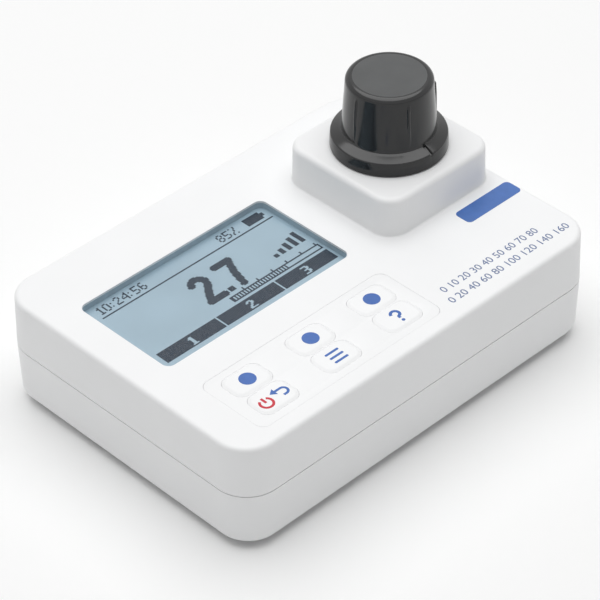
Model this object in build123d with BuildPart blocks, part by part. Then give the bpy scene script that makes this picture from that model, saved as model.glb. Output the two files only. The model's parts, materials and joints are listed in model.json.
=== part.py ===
from build123d import *

import os

# Portable photometer: a bench instrument with a sample well under a black cap.
# Millimetres. +X follows the display's reading direction, +Y points to the back, +Z is up.
# The origin is the centre of the case's footprint, on the plane that the feet stand on.
os.makedirs("parts", exist_ok=True)

# Case
case_corner = 11.0
case_wall = 2.5
deck_thickness = 2.5
floor_thickness = 2.5
foot_height = 2.0
split_height = 20.4
split_gap = 0.3
base_draft = 0.5
deck_draft = 0.4
base_edge = 3.0
deck_edge = 1.5

# Turret over the sample well, and how far it stands from the case's right and back sides
turret_rise = 13.0
turret_margin = 2.5
turret_back_margin = 19.1
turret_side_gap = 1.4
turret_draft = 0.35
turret_corner = 7.2
turret_edge = 1.8
turret_foot_fillet = 0.5

# Clearances
slip_fit = 0.3
close_fit = 0.15
screw_fit = 0.05

# Case screws and their bosses
screw_inset = 8.75
middle_screw_inset = 7.25
middle_screw_gap = 8.85
boss_radius = 3.2
screw_radius = 1.45
screw_head_radius = 2.7
screw_head_height = 1.8
screw_head_level = 8.0
screw_length = 22.0

# Gasket in the parting line
gasket_width = 1.1
gasket_depth = 1.0

# Feet
foot_inset = 15.25
foot_radius = 5.0
foot_tip_radius = 4.5
foot_socket = 0.8

# Display, and how far its opening stands from the case's left and back sides and from the turret
display_margin = 11.65
display_back_margin = 21.95
display_turret_gap = 11.75
display_length = 71.5
display_width = 37.7
display_corner = 2.5
window_recess = 0.7
window_thickness = 1.5
window_land = 2.2
glass_thickness = 1.9
glass_margin = 3.4
guide_thickness = 3.0
guide_margin = 0.4
frame_wall = 1.3
frame_floor = 1.2
frame_leg_radius = 2.0
frame_leg_inset_x = 6.0
frame_leg_inset_y = 4.0
display_standoff = 2.8
strip_width = 2.2
strip_inset = 5.75
strip_edge_gap = 0.5

# Keypad, and how far it stands from the case's left and front sides and from the display
keypad_margin = 12.5
keypad_front_margin = 6.15
keypad_display_gap = 11.6
keypad_border_x = 4.3
keypad_border_y = 2.65
keypad_corner = 3.0
overlay_thickness = 0.5
key_gap_x = 10.75
key_gap_y = 0.8
key_length = 13.6
key_width = 9.5
key_corner = 3.0
key_rise = 0.45
key_thickness = 0.9
key_slope = 0.9
key_edge = 0.8
key_travel = 0.6
stem_length = 8.0
stem_width = 4.4
dome_radius = 2.6
dome_height = 0.4
keypad_board_drop = 1.6
keypad_screw_inset = 3.0
header_length = 18.0
header_width = 5.0

# Circuit boards
board_thickness = 1.6
board_gap = 0.8
board_turret_gap = 7.15
board_bay_gap = 2.5
board_post_radius = 2.4
board_post_inset = 8.0
board_post_gap = 0.9
board_screw_radius = 1.05
board_screw_head = 2.0
board_screw_head_height = 1.3
board_screw_length = 6.0
board_screw_stop = 0.5
chip_size = 12.0
chip_height = 1.6
chip_offset = 6.0
component_offset = 12.0
component_length = 3.2
component_width = 1.6
component_height = 1.2
component_gap_x = 3.8
component_gap_y = 3.4
component_columns = 5
component_rows = 2
buzzer_radius = 6.0
buzzer_height = 4.6
clock_cell_radius = 6.25
clock_cell_height = 2.0

# Battery bay, three AA cells side by side
cell_radius = 7.25
cell_body_length = 49.2
cell_nub_length = 1.3
cell_nub_radius = 2.75
cell_gap = 0.8
bay_margin = 14.25
bay_side_gap = 0.95
bay_wall = 1.6
bay_roof = 1.5
contact_thickness = 0.4
contact_width = 9.0
leaf_room = 8.1
leaf_contact_height = 10.0
leaf_tail = 2.0

# Battery cover
cover_end_margin = 7.5
cover_side_margin = 3.5
cover_corner = 4.0
cover_thickness = 2.2
cover_seat = 2.2
cover_lip = 1.2
cover_lip_height = 1.5
cover_screw_gap = 3.9
cover_screw_inset = 7.0
cover_boss_height = 9.0
cover_hole_stop = 1.5
cover_screw_stop = 2.0
cover_gasket_width = 1.4
cover_gasket_depth = 0.8
cover_gasket_inset = 0.8
cover_rib_width = 1.5
cover_rib_height = 0.7

# Cuvette
cuvette_radius = 12.3
cuvette_wall = 1.2
cuvette_base_thickness = 1.8
shoulder_drop = 0.8
shoulder_rise = 2.4
shoulder_width = 2.7
neck_wall = 1.5
neck_rise = 13.7

# Stopper
stopper_flange = 1.2
stopper_depth = 7.0
stopper_wall = 1.2

# Cap
cap_overlap = 2.2
flange_draft = 0.2
flange_height = 4.75
cone_height = 6.0
cap_wall = 1.3
skirt_taper = 1.1
cap_height = 24.2
cap_edge = 1.7
cap_rim = 0.3
cap_dish = 0.35
cap_roof = 2.8
cap_seat_gap = 0.2
rib_count = 5
rib_start_angle = 249.0
rib_width = 0.9
rib_proud = 0.5
rib_root = 0.6
rib_foot_rise = 1.7
rib_top_drop = 2.9
index_width = 0.9
index_depth = 0.7
nib_width = 2.4
nib_depth = 1.6

# Cell holder and optics
holder_wall = 2.9
holder_floor = 2.0
holder_floor_gap = 0.5
holder_side_gap = 0.4
holder_flange_corner = 3.0
holder_flange_thickness = 2.0
holder_flange_gap = 1.2
holder_screw_inset = 3.1
beam_height = 13.0
barrel_wall = 2.85
aperture_radius = 2.5
splitter_chamber = 9.0
splitter_length = 8.0
splitter_thickness = 1.0
chamber_start = 3.4
filter_shoulder = 1.5
filter_thickness = 3.0
spacer_length = 3.0
spacer_wall = 1.0
lens_thickness = 2.5
lens_dome = 1.0
plug_length = 4.6
lamp_gap = 0.5
lamp_body = 6.0
lamp_radius = 2.5
lamp_tip_share = 0.9
lamp_flange_rim = 0.4
lamp_flange = 1.0
lamp_board_size = 14.0
detector_radius = 4.1
detector_can_height = 2.8
detector_flange_rim = 0.5
detector_side_gap = 0.4
detector_flange = 0.6
detector_gap = 3.1
reference_gap = 0.2
detector_board_width = 22.0
detector_board_height = 20.0
leaf_width = 4.0
leaf_thickness = 0.3
leaf_height = 16.0
leaf_angle = 45.0
leaf_rise = 7.0
leaf_end_gap = 1.0
leaf_groove_depth = 1.2
seal_width = 2.8

# The sample well, the holder round it and the turret over that
bore_radius = cuvette_radius + slip_fit
holder_radius = bore_radius + holder_wall
turret_size = 2 * (holder_radius + seal_width + turret_side_gap + case_wall + turret_draft)
holder_flange_size = turret_size - 2 * (case_wall + turret_draft + holder_side_gap)
holder_screw_spread = holder_flange_size / 2 - holder_screw_inset

# The case in plan, as long and as wide as what stands side by side on its deck
key_pitch_x = key_length + key_gap_x
key_pitch_y = key_width + key_gap_y
keypad_length = 2 * key_pitch_x + key_length + 2 * keypad_border_x
keypad_width = key_pitch_y + key_width + 2 * keypad_border_y
case_length = display_margin + display_length + display_turret_gap + turret_size + turret_margin
case_width = (keypad_front_margin + keypad_width + keypad_display_gap + display_width
              + display_back_margin)
well_x = case_length / 2 - turret_margin - turret_size / 2
well_y = case_width / 2 - turret_back_margin - turret_size / 2
display_x = -case_length / 2 + display_margin + display_length / 2
display_y = case_width / 2 - display_back_margin - display_width / 2
keypad_x = -case_length / 2 + keypad_margin + keypad_length / 2
keypad_y = -case_width / 2 + keypad_front_margin + keypad_width / 2
screw_spread_x = case_length / 2 - screw_inset
screw_spread_y = case_width / 2 - screw_inset
middle_screw_x = keypad_x + keypad_length / 2 + middle_screw_gap
middle_screw_y = case_width / 2 - middle_screw_inset
foot_spread_x = case_length / 2 - foot_inset
foot_spread_y = case_width / 2 - foot_inset

# The battery bay and its cover in plan
cell_pitch = 2 * cell_radius + cell_gap
bay_length = cell_body_length + cell_nub_length + contact_thickness + leaf_room
bay_width = 2 * (cell_pitch + cell_radius + bay_side_gap)
bay_x = -case_length / 2 + bay_margin + bay_length / 2
cover_length = bay_length + 2 * cover_end_margin
cover_width = bay_width + 2 * cover_side_margin
cover_screw_spread_x = bay_length / 2 + cover_screw_gap
cover_screw_spread_y = cover_width / 2 - cover_screw_inset

# The main board in plan
main_board_left = -screw_spread_x + boss_radius + board_gap
main_board_right = well_x - turret_size / 2 - board_turret_gap
main_board_back = middle_screw_y - boss_radius - board_gap
main_board_front = -main_board_back

# Levels, from the feet up: cover, cells, bay roof, main board, display stack, deck, turret
floor_inside = foot_height + floor_thickness
cover_inside = foot_height + cover_thickness
rib_top = cover_inside + cover_rib_height
cell_level = rib_top + slip_fit + cell_radius
bay_roof_level = cell_level + cell_radius + slip_fit
main_board_level = bay_roof_level + bay_roof + board_bay_gap
main_board_top = main_board_level + board_thickness
frame_bottom = main_board_top + display_standoff
guide_bottom = frame_bottom + frame_floor
guide_top = guide_bottom + guide_thickness
glass_bottom = guide_top + close_fit
glass_top = glass_bottom + glass_thickness
deck_height = glass_top + close_fit + max(deck_thickness, window_recess + window_thickness)
deck_inside = deck_height - deck_thickness
window_top = deck_height - window_recess
window_bottom = window_top - window_thickness
split_top = split_height + split_gap / 2
split_bottom = split_height - split_gap / 2
overlay_bottom = deck_height - overlay_thickness
key_top = deck_height + key_rise
key_bottom = key_top - key_thickness
pocket_floor = key_bottom - key_travel - close_fit
keypad_board_top = deck_inside - keypad_board_drop
keypad_board_level = keypad_board_top - board_thickness
stem_tip = keypad_board_top + dome_height + key_travel + close_fit
turret_height = deck_height + turret_rise
turret_inside = turret_height - deck_thickness

# The cuvette, its stopper and the cap over them
cuvette_bottom = floor_inside + holder_floor_gap + holder_floor
shoulder_height = turret_height - shoulder_drop
cuvette_top = turret_height + neck_rise
neck_radius = cuvette_radius - shoulder_width
stopper_flange_radius = neck_radius - slip_fit
stopper_top = cuvette_top + stopper_flange
cap_foot = turret_height + cap_seat_gap
flange_radius = holder_radius + cap_overlap
flange_edge_radius = flange_radius - flange_draft
skirt_foot_radius = bore_radius + slip_fit + cap_wall
skirt_top_radius = skirt_foot_radius - skirt_taper
cap_dish_radius = skirt_top_radius - cap_edge - cap_rim

# The optics, as distances from the well's axis along the beam
detector_flange_radius = detector_radius + detector_flange_rim
lamp_flange_radius = lamp_radius + lamp_flange_rim
optic_radius = detector_flange_radius + detector_side_gap
optic_level = cuvette_bottom + beam_height
barrel_width = 2 * (optic_radius + close_fit + barrel_wall)
barrel_height = splitter_chamber + 2 * (detector_can_height + reference_gap)
leaf_bottom = optic_level + leaf_rise
chamber_front = bore_radius + chamber_start
filter_seat = chamber_front + splitter_chamber + filter_shoulder
filter_front = -filter_seat - filter_thickness
spacer_front = filter_front - spacer_length
lamp_end = spacer_front - lens_thickness - lamp_gap - lamp_body - lamp_flange
plug_back = lamp_end + plug_length
detector_end = (chamber_front + lens_thickness + detector_gap + detector_can_height
                + detector_flange)

# The display and its carrier in plan
glass_length = display_length + 2 * glass_margin
glass_width = display_width + 2 * glass_margin
frame_length = glass_length + 2 * (close_fit + frame_wall)
frame_width = glass_width + 2 * (close_fit + frame_wall)
strip_length = display_length - 2 * strip_inset
strip_y = display_y + glass_width / 2 - strip_width / 2 - strip_edge_gap

# Planes and axes
well_section = Plane(origin=(well_x, well_y, 0), x_dir=(1, 0, 0), z_dir=(0, -1, 0))
well_axis = Axis((well_x, well_y, 0), (0, 0, 1))
lens_plane = Plane(origin=(well_x, well_y, optic_level), x_dir=(1, 0, 0), z_dir=(0, 0, 1))
optic_axis = Axis((well_x, well_y, optic_level), (0, 1, 0))

case_screw_places = [
    (-screw_spread_x, -screw_spread_y),
    (screw_spread_x, -screw_spread_y),
    (-screw_spread_x, screw_spread_y),
    (screw_spread_x, screw_spread_y),
    (middle_screw_x, -middle_screw_y),
    (middle_screw_x, middle_screw_y),
]
foot_places = {
    "foot_front_left": (-foot_spread_x, -foot_spread_y),
    "foot_front_right": (foot_spread_x, -foot_spread_y),
    "foot_back_left": (-foot_spread_x, foot_spread_y),
    "foot_back_right": (foot_spread_x, foot_spread_y),
}
cover_screw_places = [
    (bay_x + side * cover_screw_spread_x, end * cover_screw_spread_y)
    for side in (-1, 1)
    for end in (-1, 1)
]
key_places = {
    "key_left": (-1, 1),
    "key_middle": (0, 1),
    "key_right": (1, 1),
    "key_power": (-1, -1),
    "key_menu": (0, -1),
    "key_help": (1, -1),
}
key_centres = {
    name: (keypad_x + column * key_pitch_x, keypad_y + row * key_pitch_y / 2)
    for name, (column, row) in key_places.items()
}
post_front = keypad_y + keypad_width / 2 + board_post_gap + board_post_radius
post_back = display_y + frame_width / 2 + board_post_gap + board_post_radius
board_post_places = [
    (x, y)
    for x in (main_board_left + board_post_inset, main_board_right - board_post_inset)
    for y in (post_front, post_back)
]
keypad_screw_x = keypad_length / 2 - keypad_screw_inset
keypad_screw_y = keypad_width / 2 - keypad_screw_inset
keypad_screw_places = [
    (keypad_x + side * keypad_screw_x, keypad_y + end * keypad_screw_y)
    for side in (-1, 1)
    for end in (-1, 1)
]
holder_screw_places = [
    (well_x + side * holder_screw_spread, well_y + end * holder_screw_spread)
    for side in (-1, 1)
    for end in (-1, 1)
]


def case_outline(inset):
    # The case in plan, moved in by the inset.
    RectangleRounded(case_length - 2 * inset, case_width - 2 * inset, case_corner - inset)


def turret_outline(inset):
    # The turret in plan, moved in by the inset.
    side = turret_size - 2 * inset
    with Locations((well_x, well_y)):
        RectangleRounded(side, side, turret_corner - inset)


def round_posts(places, radius, bottom, top, mode=Mode.ADD):
    # Upright cylinders at the places, from one level to another.
    with BuildSketch(Plane.XY.offset(bottom)) as discs:
        with Locations(*places):
            Circle(radius)
    extrude(discs.sketch, amount=top - bottom, mode=mode)


def plate(x, y, length, width, bottom, top, corner=0.0, mode=Mode.ADD):
    # A flat plate, with rounded corners where a radius is given.
    with BuildSketch(Plane.XY.offset(bottom)) as outline:
        with Locations((x, y)):
            if corner > 0:
                RectangleRounded(length, width, corner)
            else:
                Rectangle(length, width)
    extrude(outline.sketch, amount=top - bottom, mode=mode)


def cover_gasket_ring(side_gap, height, mode=Mode.ADD):
    # The frame that seals the battery cover, narrower than its groove by the side gap.
    inner = cover_gasket_inset + side_gap
    outer = cover_gasket_inset + cover_gasket_width - side_gap
    with BuildSketch(Plane.XY.offset(cover_inside)) as ring:
        with Locations((bay_x, 0)):
            Rectangle(bay_length + 2 * outer, bay_width + 2 * outer)
            Rectangle(bay_length + 2 * inner, bay_width + 2 * inner, mode=Mode.SUBTRACT)
    extrude(ring.sketch, amount=height, mode=mode)


def screws(places, seat, head_radius, head_height, shank_radius, tip):
    # Upright screws with their heads under the seat level.
    round_posts(places, head_radius, seat - head_height, seat)
    round_posts(places, shank_radius, seat, tip)


def optic_disc(radius, start, end, mode=Mode.ADD):
    # A cylinder on the optical axis, between two distances behind the well's axis.
    with BuildSketch(Plane.XZ.offset(-(well_y + start))) as disc:
        with Locations((well_x, optic_level)):
            Circle(radius)
    extrude(disc.sketch, amount=-(end - start), mode=mode)


def lens(seat, bulge):
    # A flat-backed lens on its seat; its domed face points away from the seat along the bulge sign.
    edge = lens_thickness - lens_dome
    with BuildSketch(lens_plane) as profile:
        with BuildLine():
            Line((0, seat), (optic_radius, seat))
            Line((optic_radius, seat), (optic_radius, seat + bulge * edge))
            TangentArc(
                (0, seat + bulge * lens_thickness),
                (optic_radius, seat + bulge * edge),
                tangent=(1, 0),
            )
            Line((0, seat + bulge * lens_thickness), (0, seat))
        make_face()
    revolve(profile.sketch, axis=optic_axis)


def optic_block(width, height, start, end, mode=Mode.ADD):
    # A rectangular bar on the optical axis, between two distances behind the well's axis.
    with BuildSketch(Plane.XZ.offset(-(well_y + start))) as bar:
        with Locations((well_x, optic_level)):
            Rectangle(width, height)
    extrude(bar.sketch, amount=-(end - start), mode=mode)


# Top case: drafted shell with the turret, the window opening and the keypad recess
with BuildPart() as top_case:
    with BuildSketch(Plane.XY.offset(split_top)):
        case_outline(0)
    with BuildSketch(Plane.XY.offset(deck_height)):
        case_outline(deck_draft)
    loft(ruled=True)
    fillet(top_case.faces().sort_by(Axis.Z)[-1].edges(), deck_edge)

    # Turret, blended into the deck
    with BuildSketch(Plane.XY.offset(deck_height)):
        turret_outline(0)
    with BuildSketch(Plane.XY.offset(turret_height)):
        turret_outline(turret_draft)
    loft(ruled=True)
    fillet(top_case.faces().sort_by(Axis.Z)[-1].edges(), turret_edge)
    turret_reach = turret_size / 2 + close_fit
    turret_foot = top_case.edges().filter_by_position(
        Axis.Z, deck_height - close_fit, deck_height + close_fit
    ).filter_by_position(
        Axis.X, well_x - turret_reach, well_x + turret_reach
    ).filter_by_position(
        Axis.Y, well_y - turret_reach, well_y + turret_reach
    )
    fillet(turret_foot, turret_foot_fillet)

    # Hollow inside
    with BuildSketch(Plane.XY.offset(split_top)):
        case_outline(case_wall)
    with BuildSketch(Plane.XY.offset(deck_inside)):
        case_outline(case_wall + deck_draft)
    loft(ruled=True, mode=Mode.SUBTRACT)
    with BuildSketch(Plane.XY.offset(deck_inside)):
        turret_outline(case_wall)
    with BuildSketch(Plane.XY.offset(turret_inside)):
        turret_outline(case_wall + turret_draft)
    loft(ruled=True, mode=Mode.SUBTRACT)

    # Well opening in the turret
    round_posts([(well_x, well_y)], holder_radius + close_fit, turret_inside, turret_height, Mode.SUBTRACT)

    # Display opening, with a land for the window on the inside
    plate(display_x, display_y, display_length, display_width, deck_inside, deck_height,
          display_corner, Mode.SUBTRACT)
    plate(display_x, display_y, display_length + 2 * (window_land + close_fit),
          display_width + 2 * (window_land + close_fit), deck_inside, window_top, display_corner,
          Mode.SUBTRACT)

    # Keypad recess, key pockets and stem holes
    plate(keypad_x, keypad_y, keypad_length + 2 * close_fit, keypad_width + 2 * close_fit,
          overlay_bottom, deck_height, keypad_corner, Mode.SUBTRACT)
    for key_x, key_y in key_centres.values():
        plate(key_x, key_y, key_length + 2 * close_fit, key_width + 2 * close_fit,
              pocket_floor, overlay_bottom, key_corner, Mode.SUBTRACT)
        plate(key_x, key_y, stem_length + 2 * close_fit, stem_width + 2 * close_fit,
              deck_inside, pocket_floor, 0, Mode.SUBTRACT)

    # Bosses for the case screws, posts for both boards and for the cell holder
    round_posts(case_screw_places, boss_radius, split_top, deck_inside + deck_thickness / 2)
    round_posts(board_post_places, board_post_radius, main_board_top, deck_inside + deck_thickness / 2)
    round_posts(keypad_screw_places, board_post_radius, keypad_board_top,
                deck_inside + deck_thickness / 4)
    round_posts(holder_screw_places, board_post_radius, turret_inside - holder_flange_gap,
                turret_inside + deck_thickness / 2)
    round_posts(case_screw_places, screw_radius + screw_fit, split_top, deck_inside, Mode.SUBTRACT)
    round_posts(board_post_places, board_screw_radius + screw_fit, main_board_top,
                main_board_top + board_screw_length, Mode.SUBTRACT)
    round_posts(keypad_screw_places, board_screw_radius + screw_fit, keypad_board_top,
                deck_inside + deck_thickness / 4, Mode.SUBTRACT)
    round_posts(holder_screw_places, board_screw_radius + screw_fit,
                turret_inside - holder_flange_gap, turret_inside + deck_thickness / 4, Mode.SUBTRACT)
top_case.part.label = "top_case"
export_step(top_case.part, "parts/top_case.step")

# Base case: drafted tray with the battery bay, screw bosses and foot sockets
with BuildPart() as base_case:
    with BuildSketch(Plane.XY.offset(foot_height)):
        case_outline(base_draft)
    with BuildSketch(Plane.XY.offset(split_bottom)):
        case_outline(0)
    loft(ruled=True)
    fillet(base_case.faces().sort_by(Axis.Z)[0].edges(), base_edge)
    with BuildSketch(Plane.XY.offset(floor_inside)):
        case_outline(base_draft + case_wall)
    with BuildSketch(Plane.XY.offset(split_bottom)):
        case_outline(case_wall)
    loft(ruled=True, mode=Mode.SUBTRACT)

    # Groove for the gasket in the rim
    with BuildSketch(Plane.XY.offset(split_bottom - gasket_depth)):
        case_outline((case_wall - gasket_width) / 2)
        with BuildSketch(mode=Mode.SUBTRACT):
            case_outline((case_wall + gasket_width) / 2)
    extrude(amount=gasket_depth, mode=Mode.SUBTRACT)

    # Battery bay with its roof, the seat for the cover and the cover's bosses
    plate(bay_x, 0, bay_length + 2 * bay_wall, bay_width + 2 * bay_wall, foot_height,
          bay_roof_level + bay_roof)
    plate(bay_x, 0, cover_length + 2 * case_wall, cover_width + 2 * case_wall, foot_height,
          cover_inside + cover_seat)
    round_posts(cover_screw_places, boss_radius, foot_height, cover_inside + cover_boss_height)
    plate(bay_x, 0, bay_length, bay_width, foot_height, bay_roof_level, 0, Mode.SUBTRACT)
    plate(bay_x, 0, cover_length + 2 * slip_fit, cover_width + 2 * slip_fit, foot_height,
          cover_inside, cover_corner, Mode.SUBTRACT)
    cover_gasket_ring(0, cover_gasket_depth, Mode.SUBTRACT)

    # Screw bosses, counterbored from below, and blind sockets for the feet
    round_posts(case_screw_places, boss_radius, foot_height + floor_thickness / 2, split_bottom)
    round_posts(case_screw_places, screw_radius + screw_fit, foot_height, split_bottom, Mode.SUBTRACT)
    round_posts(case_screw_places, screw_head_radius + close_fit, foot_height,
                screw_head_level, Mode.SUBTRACT)
    round_posts(foot_places.values(), foot_radius + close_fit, foot_height,
                foot_height + foot_socket, Mode.SUBTRACT)
    round_posts(cover_screw_places, board_screw_radius + screw_fit, cover_inside,
                cover_inside + cover_boss_height - cover_hole_stop, Mode.SUBTRACT)
base_case.part.label = "base_case"
export_step(base_case.part, "parts/base_case.step")

# Seal that sits in the base's rim
with BuildPart() as case_gasket:
    with BuildSketch(Plane.XY.offset(split_bottom - gasket_depth)):
        case_outline((case_wall - gasket_width) / 2 + screw_fit)
        with BuildSketch(mode=Mode.SUBTRACT):
            case_outline((case_wall + gasket_width) / 2 - screw_fit)
    extrude(amount=gasket_depth + split_gap)
case_gasket.part.label = "case_gasket"
export_step(case_gasket.part, "parts/case_gasket.step")

# Screws that join the two shells from below
with BuildPart() as case_screws:
    screws(case_screw_places, screw_head_level, screw_head_radius, screw_head_height, screw_radius,
           screw_head_level + screw_length)
case_screws.part.label = "case_screws"
export_step(case_screws.part, "parts/case_screws.step")

# Rubber feet, tapered and set into blind sockets
for name, place in foot_places.items():
    with BuildPart() as foot:
        round_posts([place], foot_radius, foot_height, foot_height + foot_socket)
        with BuildSketch():
            with Locations(place):
                Circle(foot_tip_radius)
        with BuildSketch(Plane.XY.offset(foot_height)):
            with Locations(place):
                Circle(foot_radius)
        loft(ruled=True)
    foot.part.label = name
    export_step(foot.part, f"parts/{name}.step")

# Clear window, bonded behind the opening
with BuildPart() as display_window:
    plate(display_x, display_y, display_length + 2 * window_land, display_width + 2 * window_land,
          window_bottom, window_top, display_corner)
display_window.part.label = "display_window"
export_step(display_window.part, "parts/display_window.step")

# Liquid-crystal cell
with BuildPart() as display_glass:
    plate(display_x, display_y, glass_length, glass_width, glass_bottom, glass_top)
display_glass.part.label = "display_glass"
export_step(display_glass.part, "parts/display_glass.step")

# Light guide behind the display
with BuildPart() as backlight_guide:
    plate(display_x, display_y, display_length + 2 * guide_margin, display_width + 2 * guide_margin,
          guide_bottom, guide_top)
backlight_guide.part.label = "backlight_guide"
export_step(backlight_guide.part, "parts/backlight_guide.step")

# Carrier that holds the display on the main board
with BuildPart() as display_frame:
    plate(display_x, display_y, frame_length, frame_width, frame_bottom, glass_top)
    plate(display_x, display_y, glass_length + 2 * close_fit, glass_width + 2 * close_fit,
          guide_bottom, glass_top, 0, Mode.SUBTRACT)
    plate(display_x, strip_y, strip_length + 2 * close_fit, strip_width + 2 * close_fit,
          frame_bottom, guide_bottom, 0, Mode.SUBTRACT)
    with BuildSketch(Plane.XY.offset(main_board_top)):
        with Locations((display_x, display_y)):
            with GridLocations(frame_length - 2 * frame_leg_inset_x,
                               frame_width - 2 * frame_leg_inset_y, 2, 2):
                Circle(frame_leg_radius)
    extrude(amount=display_standoff)
display_frame.part.label = "display_frame"
export_step(display_frame.part, "parts/display_frame.step")

# Elastomer strip that joins the display to the main board
with BuildPart() as display_strip:
    plate(display_x, strip_y, strip_length, strip_width, main_board_top, glass_bottom)
display_strip.part.label = "display_strip"
export_step(display_strip.part, "parts/display_strip.step")

# Printed sheet with a window for each key
with BuildPart() as keypad_overlay:
    plate(keypad_x, keypad_y, keypad_length, keypad_width, overlay_bottom, deck_height, keypad_corner)
    for key_x, key_y in key_centres.values():
        plate(key_x, key_y, key_length + 2 * close_fit, key_width + 2 * close_fit,
              overlay_bottom, deck_height, key_corner, Mode.SUBTRACT)
keypad_overlay.part.label = "keypad_overlay"
export_step(keypad_overlay.part, "parts/keypad_overlay.step")

# Six keys, each a raised pad with sloping sides, on a stem that reaches its dome
for name, (key_x, key_y) in key_centres.items():
    with BuildPart() as key:
        plate(key_x, key_y, key_length, key_width, key_bottom, deck_height, key_corner)
        with BuildSketch(Plane.XY.offset(deck_height)):
            with Locations((key_x, key_y)):
                RectangleRounded(key_length, key_width, key_corner)
        with BuildSketch(Plane.XY.offset(key_top)):
            with Locations((key_x, key_y)):
                RectangleRounded(key_length - 2 * key_slope, key_width - 2 * key_slope,
                                 key_corner - key_slope)
        loft(ruled=True)
        fillet(key.faces().sort_by(Axis.Z)[-1].edges(), key_edge)
        plate(key_x, key_y, stem_length, stem_width, stem_tip, key_bottom)
    key.part.label = name
    export_step(key.part, f"parts/{name}.step")

# Board that carries the key switches
with BuildPart() as keypad_board:
    plate(keypad_x, keypad_y, keypad_length, keypad_width, keypad_board_level, keypad_board_top)
    round_posts(keypad_screw_places, board_screw_radius + screw_fit, keypad_board_level,
                keypad_board_top, Mode.SUBTRACT)
keypad_board.part.label = "keypad_board"
export_step(keypad_board.part, "parts/keypad_board.step")

# Snap domes under the keys
with BuildPart() as snap_domes:
    round_posts(key_centres.values(), dome_radius, keypad_board_top, keypad_board_top + dome_height)
    chamfer(snap_domes.faces().group_by(Axis.Z)[-1].edges(), dome_height / 2)
snap_domes.part.label = "snap_domes"
export_step(snap_domes.part, "parts/snap_domes.step")

# Header between the keypad board and the main board
with BuildPart() as keypad_header:
    plate(keypad_x, keypad_y, header_length, header_width, main_board_top, keypad_board_level)
keypad_header.part.label = "keypad_header"
export_step(keypad_header.part, "parts/keypad_header.step")

# Screws that hold the keypad board under the deck
with BuildPart() as keypad_screws:
    screws(keypad_screw_places, keypad_board_level, board_screw_head, board_screw_head_height,
           board_screw_radius, deck_inside)
keypad_screws.part.label = "keypad_screws"
export_step(keypad_screws.part, "parts/keypad_screws.step")

# Main board
with BuildPart() as main_board:
    plate((main_board_left + main_board_right) / 2, (main_board_front + main_board_back) / 2,
          main_board_right - main_board_left, main_board_back - main_board_front,
          main_board_level, main_board_top)
    round_posts(board_post_places, board_screw_radius + screw_fit, main_board_level,
                main_board_top, Mode.SUBTRACT)
main_board.part.label = "main_board"
export_step(main_board.part, "parts/main_board.step")

# Screws that hold the main board to its posts
with BuildPart() as board_screws:
    screws(board_post_places, main_board_level, board_screw_head, board_screw_head_height,
           board_screw_radius, main_board_top + board_screw_length - board_screw_stop)
board_screws.part.label = "board_screws"
export_step(board_screws.part, "parts/board_screws.step")

# Chips and small parts on the main board
with BuildPart() as microcontroller:
    plate(display_x, display_y - chip_offset, chip_size, chip_size, main_board_top,
          main_board_top + chip_height)
microcontroller.part.label = "microcontroller"
export_step(microcontroller.part, "parts/microcontroller.step")
with BuildPart() as board_components:
    with BuildSketch(Plane.XY.offset(main_board_top)):
        with Locations((display_x, display_y + component_offset)):
            with GridLocations(component_length + component_gap_x, component_width + component_gap_y,
                               component_columns, component_rows):
                Rectangle(component_length, component_width)
    extrude(amount=component_height)
board_components.part.label = "board_components"
export_step(board_components.part, "parts/board_components.step")
with BuildPart() as buzzer:
    round_posts([(keypad_x - key_pitch_x, keypad_y)], buzzer_radius, main_board_top,
                main_board_top + buzzer_height)
buzzer.part.label = "buzzer"
export_step(buzzer.part, "parts/buzzer.step")
with BuildPart() as clock_cell:
    round_posts([(keypad_x + key_pitch_x, keypad_y)], clock_cell_radius, main_board_top,
                main_board_top + clock_cell_height)
clock_cell.part.label = "clock_cell"
export_step(clock_cell.part, "parts/clock_cell.step")

# Cell holder: the well, the lamp barrel in front of it and the detector seat behind it
flange_top = turret_inside - holder_flange_gap
flange_bottom = flange_top - holder_flange_thickness
with BuildPart() as cell_holder:
    round_posts([(well_x, well_y)], holder_radius, cuvette_bottom - holder_floor, turret_height)
    plate(well_x, well_y, holder_flange_size, holder_flange_size, flange_bottom, flange_top,
          holder_flange_corner)
    optic_block(barrel_width, barrel_height, lamp_end, 0)
    optic_block(barrel_width, barrel_height, 0, detector_end)
    round_posts([(well_x, well_y)], bore_radius, cuvette_bottom, turret_height, Mode.SUBTRACT)

    # Light path, filter barrel and detector bore
    optic_disc(aperture_radius, filter_front, detector_end, Mode.SUBTRACT)
    optic_disc(optic_radius + close_fit, lamp_end, -filter_seat, Mode.SUBTRACT)
    optic_disc(optic_radius + close_fit, chamber_front, detector_end, Mode.SUBTRACT)
    optic_block(splitter_chamber, splitter_chamber, -chamber_front - splitter_chamber,
                -chamber_front, Mode.SUBTRACT)
    chamber_y = well_y - chamber_front - splitter_chamber / 2
    round_posts([(well_x, chamber_y)], detector_radius + close_fit, optic_level,
                optic_level + barrel_height / 2, Mode.SUBTRACT)

    # Index groove for the cap, the leaf's groove and the screw holes
    plate(well_x, well_y - holder_radius + holder_wall / 2, nib_width + 2 * slip_fit, 2 * holder_wall,
          turret_height - nib_depth, turret_height, 0, Mode.SUBTRACT)
    with BuildSketch(Plane.XY.offset(leaf_bottom - leaf_end_gap)):
        with Locations((well_x, well_y)):
            with PolarLocations(bore_radius, 1, start_angle=leaf_angle):
                Rectangle(2 * leaf_groove_depth, leaf_width + 2 * slip_fit)
    extrude(amount=leaf_height + 2 * leaf_end_gap, mode=Mode.SUBTRACT)
    round_posts(holder_screw_places, board_screw_radius + screw_fit, flange_bottom, flange_top,
                Mode.SUBTRACT)
cell_holder.part.label = "cell_holder"
export_step(cell_holder.part, "parts/cell_holder.step")

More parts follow.
